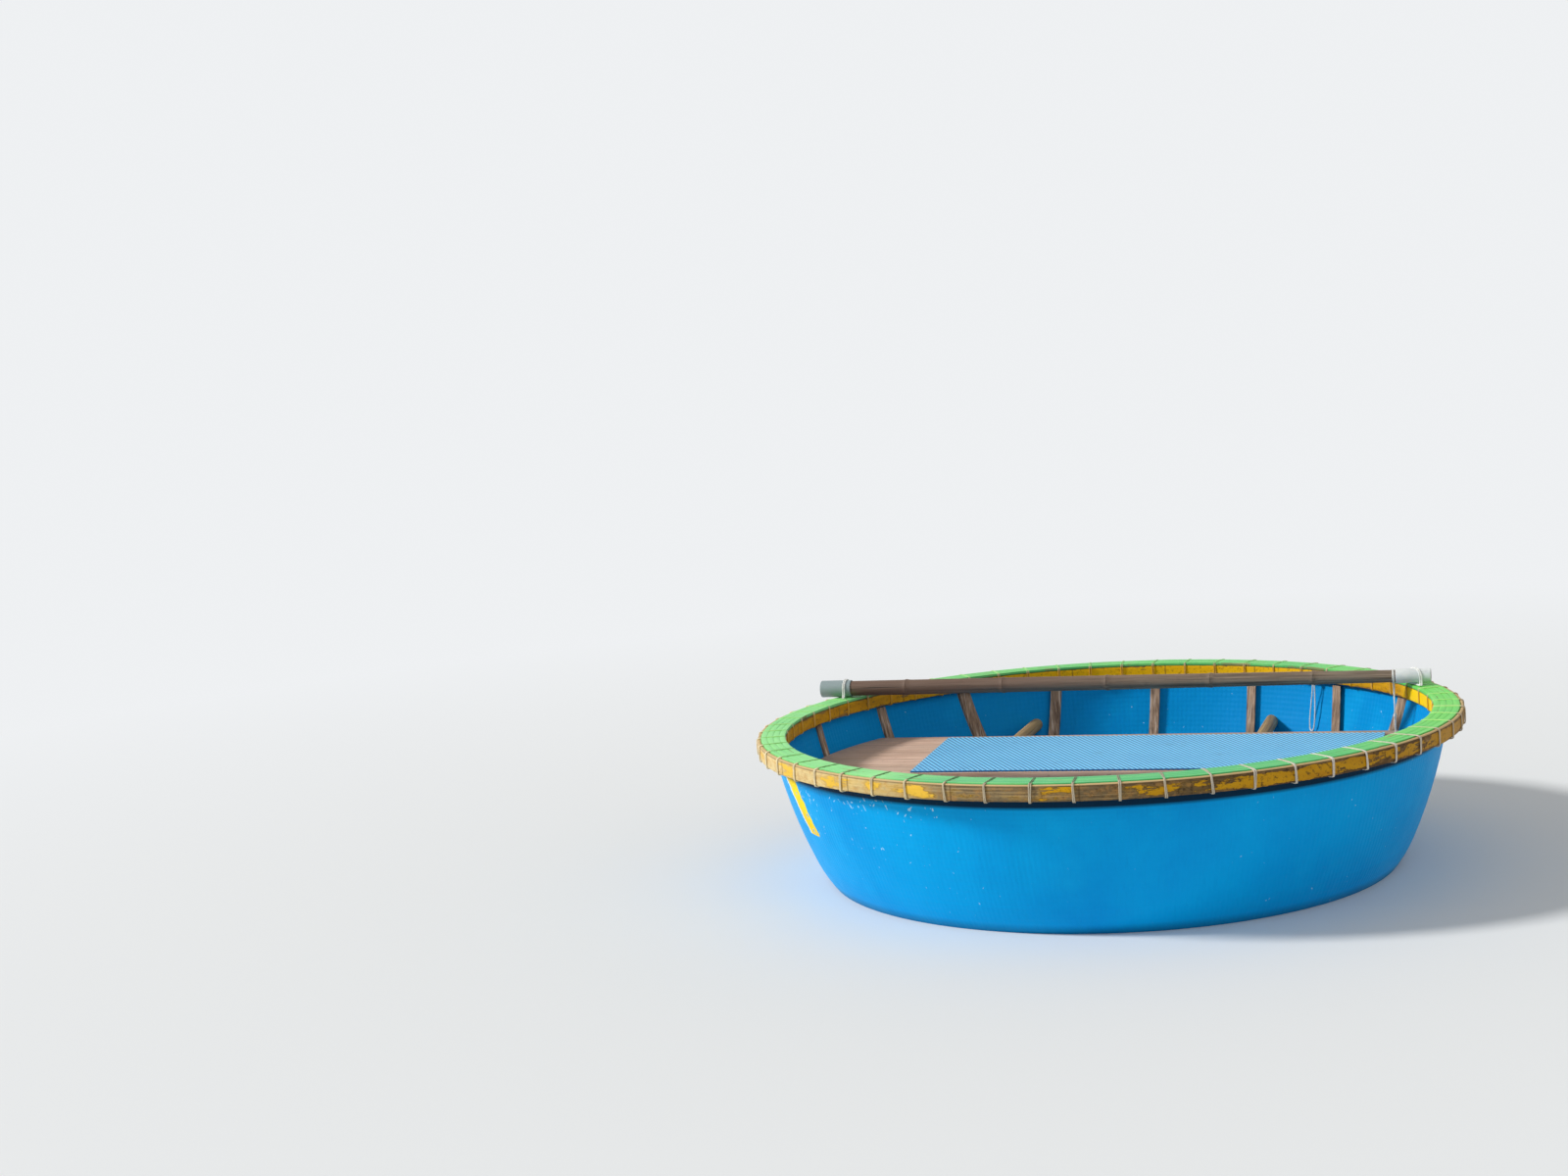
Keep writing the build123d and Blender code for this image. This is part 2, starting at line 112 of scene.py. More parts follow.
def pick(piece, wanted):
    """In edit mode, selects the vertices whose place `wanted` accepts, and what they enclose."""
    bpy.ops.mesh.select_mode(type="VERT")
    bpy.ops.mesh.select_all(action="DESELECT")
    leave()
    for vertex in piece.data.vertices:
        vertex.select = bool(wanted(vertex.co))
    bpy.ops.object.mode_set(mode="EDIT")


def apply_place(piece):
    only(piece)
    bpy.ops.object.transform_apply(location=True, rotation=True, scale=True)


def apply_modifier(piece, kind, **settings):
    only(piece)
    modifier = piece.modifiers.new(kind.lower(), kind)
    for name, value in settings.items():
        setattr(modifier, name, value)
    bpy.ops.object.modifier_apply(modifier=modifier.name)


def uneven(piece, strength, size):
    """Gives a piece the gentle unevenness of hand-split or hand-laid work."""
    clouds = bpy.data.textures.new(piece.name + "_unevenness", "CLOUDS")
    clouds.noise_scale = size
    apply_modifier(piece, "DISPLACE", texture=clouds, strength=strength, mid_level=0.5)


def smooth(piece, degrees=35):
    only(piece)
    bpy.ops.object.shade_smooth_by_angle(angle=math.radians(degrees))


def finish(piece, name, material, node):
    """Names a finished piece, ties it to the frame and puts it in the place of its CAD node."""
    piece.name = name
    piece.data.name = name
    piece.data.materials.clear()
    piece.data.materials.append(material)
    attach(piece, "root")
    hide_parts(node)


def joined(pieces):
    only(pieces[0])
    for piece in pieces:
        piece.select_set(True)
    bpy.ops.object.join()
    return bpy.context.object


# Materials: colours in sRGB hex, and one function that adds a node
RGBA = {"data_type": "RGBA"}
ALL = slice(None)


def linear(colour):
    """sRGB hex to linear RGBA."""
    channels = [int(colour[start:start + 2], 16) / 255 for start in (1, 3, 5)]
    values = [c / 12.92 if c <= 0.04045 else ((c + 0.055) / 1.055) ** 2.4 for c in channels]
    return (*values, 1.0)


def fill(socket, value):
    """Links a socket, or sets it to a number, a vector or an sRGB colour. None leaves it alone."""
    if isinstance(value, bpy.types.NodeSocket):
        socket.id_data.links.new(value, socket)
    elif value is not None:
        socket.default_value = linear(value) if isinstance(value, str) else value


def add_node(tree, kind, *inputs, output=0, stops=(), **settings):
    """Adds a node with its settings, fills its live inputs in their order and returns an output."""
    node = tree.nodes.new("ShaderNode" + kind)
    for name, value in settings.items():
        setattr(node, name, value)
    for socket, value in zip([socket for socket in node.inputs if socket.enabled], inputs):
        fill(socket, value)
    for index, (place, colour) in enumerate(stops):
        elements = node.color_ramp.elements
        element = elements[index] if index < 2 else elements.new(place)
        element.position = place
        element.color = linear(colour) if isinstance(colour, str) else (colour, colour, colour, 1)
    if isinstance(output, str):
        return node.outputs[output]
    return [socket for socket in node.outputs if socket.enabled][output]


def new_material(name):
    """A material, its shader, its Object coordinates and the function that adds its nodes."""
    material = bpy.data.materials.new(name)
    material.use_nodes = True
    add = functools.partial(add_node, material.node_tree)
    return material, add, material.node_tree.nodes["Principled BSDF"], add("TexCoord", output="Object")


def set_up(add, shader, colour, roughness, height=None, depth=0.5 * MM, **constants):
    """Fills the shader's colour, roughness and bump, and the inputs that are the same all over."""
    fill(shader.inputs["Base Color"], colour)
    fill(shader.inputs["Roughness"], roughness)
    for name, value in constants.items():
        fill(shader.inputs[name.replace("_", " ")], value)
    if height is not None:
        fill(shader.inputs["Normal"], add("Bump", 1.0, depth, None, height))


def layered(add, colour, coordinates, *layers):
    """Lays tones over a colour where noises are strong, and returns the last colour and the noises.
    A layer: the noise's stretch (None if even), scale, detail and roughness, where it sets in, where
    it is full, its greatest share, and the tone."""
    noises = []
    for stretch, scale, detail, roughness, low, high, share, tone in layers:
        place = add("Mapping", coordinates, None, None, stretch) if stretch else coordinates
        noises.append(add("TexNoise", place, scale, detail, roughness))
        colour = add("Mix", add("MapRange", noises[-1], low, high, 0, share), colour, tone, **RGBA)
    return colour, noises


SEAM_TURN = 103.0   # degrees: where a pattern that runs round the boat meets itself, at the far side


def round_the_boat(add, place):
    """Coordinates along the rim, across it and upwards, then turn, reach and height by themselves."""
    turned = add("Mapping", place, None, (0, 0, math.radians(180 - SEAM_TURN)))
    x, y, height = add("SeparateXYZ", turned, output=ALL)
    angle = add("Math", y, x, operation="ARCTAN2")
    out = add("VectorMath", add("CombineXYZ", x, y), operation="LENGTH")
    along = add("CombineXYZ", angle, out, height)
    return along, add("MapRange", angle, -math.pi, math.pi), out, height


def by_turn(*stops):
    """Ramp stops for directions in degrees from +X, in their order from SEAM_TURN on."""
    return [((degrees - SEAM_TURN) % 360 / 360, value) for degrees, value in stops]


# Values of the patterns
STRIP_WIDTH = 16 * MM       # of the hull's weave
LATH_JOINTS = 19.0          # bamboo joints round a rim's lath, a third of a metre apart
STRIPE_SLOPE = 0.41         # radians round the hull for each metre of height
STRIPE_PLACE = math.radians((216.7 - SEAM_TURN) % 360) + STRIPE_SLOPE * 0.285
STRIPE_BODY = (0, 0.046)    # radians off the stripe's middle, and half width
STRIPE_LINE = (-0.053, 0.009)
STRIPE_END = 0.207          # height of its lower end
CROWN_LATHS = 4
CROWN_GAP = 1.2 * MM        # between the CAD laths
RIDGE_PITCH = 13.5 * MM     # a third coarser than the real one, which is too fine to show
RIDGE_HEIGHT = 2.0 * MM
RIDGE_TURN = -60.0          # degrees from +X to the way the mat's ridges run
CUT_TURN = 66.0             # and the way of the cuts across them
CUT_PITCH = 10.3 * MM


def hull_paint():
    """Alkyd enamel, brushed over a resin-sealed bamboo weave.
    To the eye: strong bright blue, slightly uneven, nearly matt, with pale scuffs and brush marks."""
    material, add, shader, place = new_material("alkyd_enamel_on_sealed_weave")
    along, turn, _, height = round_the_boat(add, place)
    # the outside is a little lighter than the inside
    flat = add("VectorMath", place, (1, 1, 0), operation="MULTIPLY")
    normal = add("NewGeometry", output="Normal")
    outside = add("MapRange", add("VectorMath", normal, flat, operation="DOT_PRODUCT"), -0.02, 0.02)
    colour = add("Mix", outside, "#0090D4", "#00A8EC", **RGBA)
    # broad tone changes of hand-mixed paint, and brush marks 3 to 8 mm wide that run down the wall
    colour, (broad, cloud) = layered(
        add, colour, place,
        (None, 2.2, 4, 0.6, 0.42, 0.68, 0.6, "#0090DC"),
        (None, 5.0, 3, 0.5, 0.56, 0.78, 0.45, "#10B8F4"),
    )
    colour, (brushed,) = layered(
        add, colour, along, ((9, 1, 0.9), 30.0, 3, 0.6, 0.55, 0.80, 0.25, "#0080CC")
    )
    # pale scuffs both ways and specks, in clusters, most of them on the left shoulder below the rim
    speck = add("TexNoise", place, 75.0, 2, 0.5)
    worn = speck
    for lean in (24, -48):
        slanted = add("Mapping", along, None, (0, math.radians(lean), 0))
        scuff = add("TexNoise", add("Mapping", slanted, None, None, (2.6, 1, 0.8)), 38.0, 2, 0.5)
        worn = add("Math", worn, scuff, operation="MAXIMUM")
    chipped = ((204, 0), (216, 0.14), (238, 0.13), (252, 0.05), (268, 0), (0, 0.02))
    chipped = add("ValToRGB", turn, stops=by_turn(*chipped))
    cluster = add("MapRange", add("TexNoise", place, 8.0, 2, 0.5), 0.42, 0.60)
    for share in (add("MapRange", height, 0.10, 0.34), outside, cluster):
        chipped = add("Math", chipped, share, operation="MULTIPLY")
    worn = add("MapRange", add("Math", worn, chipped, operation="ADD"), 0.765, 0.80, 0, 0.7)
    colour = add("Mix", worn, colour, "#BDE9F8", **RGBA)
    # one plain slanting stripe with a pale, ragged line along its left edge
    angle = add("Math", turn, 2 * math.pi, operation="MULTIPLY")
    across = add("Math", height, STRIPE_SLOPE, angle, operation="MULTIPLY_ADD")
    ragged = add("MapRange", add("TexNoise", place, 45.0, 3, 0.6), 0.2, 0.8, -0.009, 0.009)
    across = add("Math", across, ragged, operation="ADD")
    above = add("MapRange", height, STRIPE_END, STRIPE_END + 3 * MM)
    long_enough = add("Math", above, outside, operation="MULTIPLY")
    yellow = add("Mix", add("MapRange", cloud, 0.35, 0.65), "#F6B800", "#FFE11E", **RGBA)
    whole = add("MapRange", add("TexNoise", place, 38.0, 3, 0.6), 0.33, 0.38)
    long_enough = add("Math", long_enough, whole, operation="MULTIPLY")
    # it narrows downwards by a quarter
    across = add("Math", across, STRIPE_PLACE, operation="SUBTRACT")
    across = add("Math", across, add("MapRange", height, 0.20, 0.37, 1.34, 1), operation="MULTIPLY")
    for (middle, half), tone in ((STRIPE_LINE, "#DDEEEE"), (STRIPE_BODY, yellow)):
        apart = add("Math", add("Math", across, middle, operation="SUBTRACT"), operation="ABSOLUTE")
        share = add("MapRange", apart, half, half - 0.002)
        share = add("Math", share, long_enough, operation="MULTIPLY")
        colour = add("Mix", share, colour, tone, **RGBA)
    # painted shadow of the rim's band, a dark navy strip on the wall just under it, and wet paint just above
    # the water
    corner = add("MapRange", height, BAND_BOTTOM - 36 * MM, BAND_BOTTOM - 25 * MM, 0, 0.96)
    corner = add("Math", corner, outside, operation="MULTIPLY")
    colour = add("Mix", corner, colour, "#021A30", **RGBA)
    colour = add("Mix", add("MapRange", height, 0.030, 0.004, 0, 0.5), colour, "#0B3F66", **RGBA)
    # the weave of strips shows faintly through the coats
    strips = math.pi / STRIP_WIDTH
    x, _, z = add("SeparateXYZ", along, output=ALL)
    woven = []
    for way in ("ADD", "SUBTRACT"):
        wave = add("Math", add("Math", x, z, operation=way), strips, operation="MULTIPLY")
        woven.append(add("Math", wave, operation="SINE"))
    woven = add("Math", *woven, operation="MULTIPLY")
    relief = add("Math", woven, 0.14, operation="MULTIPLY")
    relief = add("Math", broad, 2.4, relief, operation="MULTIPLY_ADD")
    relief = add("Math", brushed, 0.25, relief, operation="MULTIPLY_ADD")
    relief = add("Math", add("TexNoise", place, 9.0, 3, 0.5), 1.6, relief, operation="MULTIPLY_ADD")
    rough = add("Math", worn, 0.3, add("MapRange", broad, 0, 1, 0.34, 0.56), operation="MULTIPLY_ADD")
    set_up(add, shader, colour, rough, relief, 1.6 * MM, Specular_IOR_Level=0.06)
    return material


def worn_lath_paint(name, raw, paint, cover, grain, speckle, paint_tone, low, high, scale=9.0):
    """Oil paint on split bamboo, flaked by use. `raw` to `speckle` are ramps round the boat.
    To the eye: paint lies in patches, and grey or tan fibres run along the lath between them."""
    material, add, shader, place = new_material(name)
    along, turn, _, height = round_the_boat(add, place)
    raw, paint, cover, grain, speckle = (
        add("ValToRGB", turn, stops=by_turn(*stops)) for stops in (raw, paint, cover, grain, speckle)
    )
    # fibres of the split face, 1 to 3 mm apart and long
    fibre = add("TexNoise", add("Mapping", along, None, None, (0.5, 8, 22)), 14.0, 5, 0.7)
    dark = add("Math", add("MapRange", fibre, 0.36, 0.66), grain, operation="MULTIPLY")
    bare = add("Mix", dark, raw, "#4E3B26", **RGBA)
    # pale streaks and tan mottles on them
    bare, _ = layered(
        add, bare, along,
        ((0.35, 3, 30), 7.0, 3, 0.6, 0.56, 0.74, 0.5, "#E2C48C"),
        ((1, 2, 1.4), 34.0, 5, 0.7, 0.48, 0.66, 0.6, "#B98746"),
    )
    # paint is left in patches, smaller ones where it is speckled, and thinner towards the edges
    patch = add("TexNoise", add("Mapping", along, None, None, (0.75, 2.5, 2.2)), scale, 6, 0.62)
    patch = add("Math", fibre, 0.16, patch, operation="MULTIPLY_ADD")
    small = add("TexNoise", add("Mapping", along, None, None, (0.8, 2.5, 2)), 3 * scale, 5, 0.65)
    small = add("MapRange", small, 0, 1, -0.45, 0.45)
    patch = add("Math", small, speckle, patch, operation="MULTIPLY_ADD")
    half = (high - low) / 2
    off_middle = add("Math", add("Math", height, low + half, operation="SUBTRACT"), operation="ABSOLUTE")
    edge = add("MapRange", off_middle, 0.60 * half, half)
    thinned = add("Math", speckle, 0.18, 0.12, operation="MULTIPLY_ADD")
    thinned = add("Math", thinned, edge, operation="MULTIPLY")
    level = add("Math", add("Math", patch, cover, operation="ADD"), thinned, operation="SUBTRACT")
    left = add("MapRange", level, 1.035, 1.065)
    # rubbed paint stains the wood round the patches where it isn't speckled
    stain = add("Math", 0.9, speckle, operation="SUBTRACT")
    stain = add("Math", add("MapRange", level, 0.93, 1.05, 0, 0.7), stain, operation="MULTIPLY")
    bare = add("Mix", stain, bare, "#E2B040", **RGBA)
    border = add("Math", add("MapRange", level, 0.99, 1.04), grain, operation="MULTIPLY")
    bare = add("Mix", border, bare, "#4A3820", **RGBA)
    tone = add("TexNoise", add("Mapping", along, None, None, (0.6, 2, 4)), 11.0, 4, 0.6)
    tone = add("Math", add("MapRange", tone, 0.42, 0.66), speckle, operation="MULTIPLY")
    paint = add("Mix", tone, paint, paint_tone, **RGBA)
    colour = add("Mix", left, bare, paint, **RGBA)
    # dirt gathers in the pores
    pores = add("MapRange", add("TexNoise", place, 85.0, 4, 0.7), 0.54, 0.66)
    pores = add("Math", pores, speckle, operation="MULTIPLY")
    colour = add("Mix", pores, colour, "#33240E", **RGBA)
    # a bamboo joint each third of a metre or so
    joint = add("Math", add("Math", turn, LATH_JOINTS, 0.31, operation="MULTIPLY_ADD"), operation="FRACT")
    joint = add("Math", add("Math", joint, 0.5, operation="SUBTRACT"), operation="ABSOLUTE")
    ring = add("MapRange", joint, 0.010, 0.004, 0, 0.55)
    colour = add("Mix", ring, colour, "#5A4326", **RGBA)
    # the upper edge is bare and pale above a dark line
    line = add("MapRange", add("Math", height, high - 1 * MM, operation="SUBTRACT"), -2 * MM, 0, 0, 0.6)
    colour = add("Mix", line, colour, "#4F3C22", **RGBA)
    colour = add("Mix", add("MapRange", height, high, high + 2 * MM), colour, "#CDAE7C", **RGBA)
    relief = add("Math", left, 0.45, fibre, operation="MULTIPLY_ADD")
    relief = add("Math", ring, 1.6, relief, operation="MULTIPLY_ADD")
    rough = add("MapRange", left, 0, 1, 0.74, 0.56)
    set_up(add, shader, colour, rough, relief, 0.7 * MM, Specular_IOR_Level=0.2)
    return material


def crown_paint():
    """Oil paint brushed over flat split-bamboo laths.
    To the eye: light green with faint lath lines and scraped edges, lighter on the left and at the far right
    with painted sunlight, darker in the middle with painted shade, and a little grime and painted shade in
    the gaps."""
    material, add, shader, place = new_material("oil_paint_on_crown_laths")
    along, turn, out, height = round_the_boat(add, place)
    # green round the boat: the lighter left and yellower far right are painted sunlight, the darker middle
    # of the near side is painted shade
    green_with_painted_sun_and_shade = add("ValToRGB", turn, stops=by_turn(
        (120, "#74CE72"), (160, "#94E48C"), (244, "#A0EC98"), (258, "#68C482"), (300, "#5CC078"),
        (322, "#5EC870"), (344, "#78D85C"), (26, "#78D85C"), (56, "#74CE72"),
    ))
    colour, _ = layered(add, green_with_painted_sun_and_shade, place, (None, 4.0, 3, 0.6, 0.38, 0.66, 0.4, "#50BE6C"))
    # brush marks, and fibres that show through
    colour, (_, fibre) = layered(
        add, colour, along,
        ((0.5, 6, 1), 9.0, 4, 0.6, 0.50, 0.74, 0.6, "#94E680"),
        ((0.5, 22, 8), 14.0, 5, 0.7, 0.56, 0.78, 0.3, "#3EA458"),
    )
    # how far a point is from its lath's middle, from 0 to 1 at the edge
    first = inner_radius_of("crown_lath_1")
    pitch = (radius_of("crown_lath_4") - first + CROWN_GAP) / CROWN_LATHS
    inside = add("Math", add("MapRange", out, first, first + 8 * pitch, 0, 8), operation="FRACT")
    middle = (1 - CROWN_GAP / pitch) / 2
    edge = add("Math", add("Math", inside, middle, operation="SUBTRACT"), operation="ABSOLUTE")
    edge = add("MapRange", edge, 0, middle)
    scrape = add("TexNoise", add("Mapping", along, None, None, (0.8, 3, 1)), 12.0, 5, 0.65)
    bare = add("MapRange", add("Math", edge, 0.42, scrape, operation="MULTIPLY_ADD"), 1.0, 1.04)
    raw = add("Mix", add("MapRange", fibre, 0.35, 0.7), "#C8A978", "#7A5F3E", **RGBA)
    colour = add("Mix", bare, colour, raw, **RGBA)
    # darker green along the laths' edges: a little grime and painted shade where the laths meet
    grime_and_painted_shade = add("MapRange", scrape, 0.40, 0.62, 0, 0.4)
    grime_and_painted_shade = add("Math", add("MapRange", edge, 0.88, 1.0), grime_and_painted_shade, operation="MULTIPLY")
    colour = add("Mix", grime_and_painted_shade, colour, "#3E9A58", **RGBA)
    # painted shade low on the laths' sides, in the gaps between them and down to the wall
    painted_gap_shade = add("MapRange", height, WALL_TOP + 3 * MM, WALL_TOP, 0, 0.6)
    colour = add("Mix", painted_gap_shade, colour, "#2F5A34", **RGBA)
    colour, _ = layered(add, colour, place, (None, 18.0, 4, 0.7, 0.60, 0.80, 0.35, "#4E8F58"))
    relief = add("Math", bare, -0.5, fibre, operation="MULTIPLY_ADD")
    rough = add("MapRange", bare, 0, 1, 0.48, 0.67)
    set_up(add, shader, colour, rough, relief, 0.5 * MM, Specular_IOR_Level=0.2)
    return material


def raw_split_bamboo():
    """Split bamboo, left raw inside the rim. To the eye: dark brown, fibrous and dull."""
    material, add, shader, place = new_material("raw_split_bamboo")
    along = round_the_boat(add, place)[0]
    fibres = ((0.5, 18, 18), 14.0, 5, 0.7, 0.34, 0.68, 1, "#2E2114")
    colour, (fibre,) = layered(add, "#6B5236", along, fibres)
    set_up(add, shader, colour, 0.85, fibre, 0.6 * MM)
    return material


def rib_bamboo():
    """Split bamboo, worn by feet and water.
    To the eye: pale and dark fibres that run down the wall, grey-brown, with specks of the hull's paint."""
    material, add, shader, place = new_material("weathered_split_bamboo")
    along = round_the_boat(add, place)[0]
    colour, (fibre, _) = layered(
        add, "#B8997E", along,
        ((2.4, 1, 0.12), 60.0, 5, 0.7, 0.35, 0.65, 1, "#5C4534"),
        ((4, 1, 0.15), 34.0, 3, 0.6, 0.54, 0.64, 0.8, "#DEC8B4"),
    )
    # grime, and specks of blue
    colour, _ = layered(
        add, colour, place,
        (None, 7.0, 4, 0.6, 0.45, 0.70, 0.6, "#6E5A48"),
        (None, 16.0, 4, 0.65, 0.68, 0.72, 0.8, "#1673B4"),
    )
    set_up(add, shader, colour, 0.78, fibre, 0.7 * MM)
    return material


def culm_bamboo(name, axis, light, dark, bleach, shaded_left_tone):
    """A bamboo culm along X or Y, dried and weathered in the sun.
    To the eye: long fine grain, grey-brown bands, dark cracks, and a darker tone towards the left that is
    painted shade."""
    material, add, shader, place = new_material(name)
    fine = (1.1, 45, 45) if axis == "x" else (45, 1.1, 45)
    coarse = (0.35, 45, 45) if axis == "x" else (45, 0.35, 45)
    colour, (grain, _) = layered(
        add, light, place,
        (fine, 3.0, 6, 0.68, 0.34, 0.66, 1, dark),
        (None, 5.0, 3, 0.5, 0.48, 0.68, 0.55, bleach),
    )
    x = add("SeparateXYZ", place, output="X")
    # painted shade: the culm's colour turns darker towards the left
    colour = add("Mix", add("MapRange", x, 0.30, -0.35, 0, 0.65), colour, shaded_left_tone, **RGBA)
    crack = add("TexNoise", add("Mapping", place, None, None, coarse), 5.0, 3, 0.6)
    crack = add("MapRange", crack, 0.655, 0.70, 0, 0.8)
    colour = add("Mix", crack, colour, "#241A13", **RGBA)
    colour, _ = layered(add, colour, place, (None, 22.0, 4, 0.7, 0.62, 0.78, 0.45, "#3B2D24"))
    set_up(add, shader, colour, 0.68, add("Math", crack, -1.5, grain, operation="MULTIPLY_ADD"), 0.7 * MM)
    return material


def sleeve_plastic():
    """uPVC pipe, extruded and sun-bleached.
    To the eye: light grey, nearly matt, chalky on top, with long scratches, and on the left a painted shade
    of darker grey-green."""
    material, add, shader, place = new_material("sun_bleached_upvc_pipe")
    colour, (chalk, scratches, _) = layered(
        add, "#CDD1CF", place,
        (None, 14.0, 4, 0.6, 0.40, 0.68, 1, "#E6E9E5"),
        ((1.2, 14, 14), 10.0, 4, 0.7, 0.60, 0.72, 0.45, "#858C90"),
        (None, 45.0, 3, 0.6, 0.62, 0.78, 0.5, "#6D6A62"),
    )
    x = add("SeparateXYZ", place, output="X")
    # painted shade: the left sleeve is coloured darker grey-green
    colour = add("Mix", add("MapRange", x, 0.1, -0.1, 0, 0.85), colour, "#76888A", **RGBA)
    set_up(add, shader, colour, add("MapRange", chalk, 0, 1, 0.42, 0.62), scratches, 0.25 * MM)
    return material


def soiled(add, place, clean, dirty):
    """The colour of a twisted line that is dirty in places and darker in its lay, and the lay."""
    colour, (_, lay) = layered(
        add, clean, place,
        (None, 28.0, 3, 0.6, 0.40, 0.70, 0.5, dirty),
        (None, 420.0, 2, 0.6, 0.46, 0.66, 0.3, "#8A806E"),
    )
    return colour, lay


def white_cord():
    """Polypropylene cord, twisted and hand-tied. To the eye: white, fuzzy, greyed by hands."""
    material, add, shader, place = new_material("twisted_polypropylene_cord")
    colour, lay = soiled(add, place, "#ECECE6", "#C8C7BF")
    set_up(add, shader, colour, 0.62, lay, 0.5 * MM)
    return material


def lashing_twine():
    """Polypropylene twine, twisted and hand-tied, and brushed over with the rim's paint.
    To the eye: cream to grey outside, green over most of the crown and yellow inside."""
    material, add, shader, place = new_material("painted_over_lashing_twine")
    _, turn, out, height = round_the_boat(add, place)
    clean = (
        (125, "#C9B88E"), (200, "#F8E8BC"), (246, "#F0DDAC"), (262, "#B8AA8E"), (290, "#BDB19C"),
        (320, "#E2DAD0"), (345, "#C2AE90"), (60, "#C9B88E"),
    )
    colour, lay = soiled(add, place, add("ValToRGB", turn, stops=by_turn(*clean)), "#BCAE90")
    ragged = add("MapRange", add("TexNoise", place, 30.0, 3, 0.6), 0.30, 0.62, 0.75, 1)
    # green on the crown, but for the near right
    painted = (
        (125, 0.95), (200, 1.0), (268, 0.9), (288, 0.4), (303, 0.05), (335, 0.1), (347, 0.95), (60, 0.95),
    )
    painted = add("ValToRGB", turn, stops=by_turn(*painted))
    on_top = add("MapRange", height, BAND_TOP + 1 * MM, BAND_TOP + 4 * MM)
    on_crown = add("MapRange", out, RIM_OUTER - 8 * MM, RIM_OUTER - 14 * MM)
    for share in (ragged, on_top, on_crown):
        painted = add("Math", painted, share, operation="MULTIPLY")
    # the green is darkest in the middle of the near side, partly dirty paint and partly painted shade, and
    # lightest at the far right, a painted highlight of sunlit ridges
    green = (
        (125, "#8ED878"), (200, "#8ED878"), (226, "#66B45E"), (244, "#3A8046"), (290, "#2C683C"),
        (320, "#5CB45C"), (345, "#ACEC84"), (20, "#ACEC84"), (60, "#8ED878"),
    )
    colour = add("Mix", painted, colour, add("ValToRGB", turn, stops=by_turn(*green)), **RGBA)
    # yellow on the inner face
    inner = add("MapRange", out, RIM_INNER + 5 * MM, RIM_INNER + 2 * MM)
    below = add("MapRange", height, WALL_TOP + 3 * MM, WALL_TOP - 2 * MM)
    inner = add("Math", add("Math", inner, below, operation="MULTIPLY"), ragged, operation="MULTIPLY")
    colour = add("Mix", inner, colour, "#DDA41A", **RGBA)
    set_up(add, shader, colour, 0.66, lay, 0.3 * MM)
    return material


def plank_wood():
    """Sawn softwood plank, unpainted. To the eye: tan with long grain, greyed and footworn."""
    material, add, shader, place = new_material("sawn_weathered_plank")
    colour, (grain, _, _) = layered(
        add, "#E2C2AC", place,
        ((0.9, 26, 26), 4.0, 6, 0.65, 0.34, 0.66, 1, "#A07C66"),
        (None, 3.0, 3, 0.5, 0.45, 0.7, 0.6, "#A8927C"),
        (None, 40.0, 3, 0.6, 0.60, 0.76, 0.4, "#4C3A28"),
    )
    set_up(add, shader, colour, 0.74, grain, 0.6 * MM)
    return material


def mat_rubber():
    """Foamed PVC mat, pressed with diagonal ridges.
    To the eye: light blue ridges with a soft sheen, painted shade between them, and a little foot dirt."""
    material, add, shader, place = new_material("pressed_foam_pvc")
    level = add("SeparateXYZ", place, output="Z")
    # the valleys between the ridges are coloured dark blue and the tops light blue: painted shade and light
    ridge = add("MapRange", level, MAT_TOP - 0.80 * RIDGE_HEIGHT, MAT_TOP - 0.30 * RIDGE_HEIGHT)
    colour, _ = layered(
        add, add("Mix", ridge, "#145C9C", "#7AD0F8", **RGBA), place,
        (None, 4.0, 3, 0.6, 0.45, 0.7, 0.3, "#4E9FD2"),
        (None, 11.0, 5, 0.7, 0.58, 0.80, 0.4, "#3A769C"),
    )
    # cross cuts that break each ridge into grains
    turned = add("Mapping", place, None, (0, 0, math.radians(-CUT_TURN)))
    cut = add("SeparateXYZ", turned, output="Y")
    cut = add("Math", add("Math", cut, 2 * math.pi / CUT_PITCH, operation="MULTIPLY"), operation="SINE")
    pebble = add("TexNoise", place, 300.0, 2, 0.5)
    relief = add("Math", cut, 0.5, pebble, operation="MULTIPLY_ADD")
    set_up(add, shader, colour, 0.52, relief, 0.5 * MM)
    return material


def paddle_wood():
    """Turned hardwood, oiled by hands. To the eye: dark brown, smooth, fine long grain."""
    material, add, shader, place = new_material("hand_worn_hardwood")
    colour, (grain, _) = layered(
        add, "#8A6044", place,
        ((0.8, 34, 34), 4.0, 5, 0.65, 0.34, 0.68, 1, "#57382A"),
        (None, 6.0, 3, 0.5, 0.5, 0.72, 0.5, "#A07A5E"),
    )
    set_up(add, shader, colour, 0.45, grain, 0.3 * MM)
    return material


def blade_paint():
    """Black bitumen paint on wood. To the eye: near black and dull, with brown worn spots."""
    material, add, shader, place = new_material("bitumen_paint_on_wood")
    colour, (patchy, _) = layered(
        add, "#17171A", place,
        (None, 14.0, 5, 0.7, 0.40, 0.7, 1, "#26242A"),
        ((0.5, 1, 1), 35.0, 4, 0.7, 0.66, 0.70, 1, "#5B4433"),
    )
    rough = add("MapRange", patchy, 0, 1, 0.48, 0.68)
    set_up(add, shader, colour, rough, patchy, 0.4 * MM, Specular_IOR_Level=0.3)
    return material


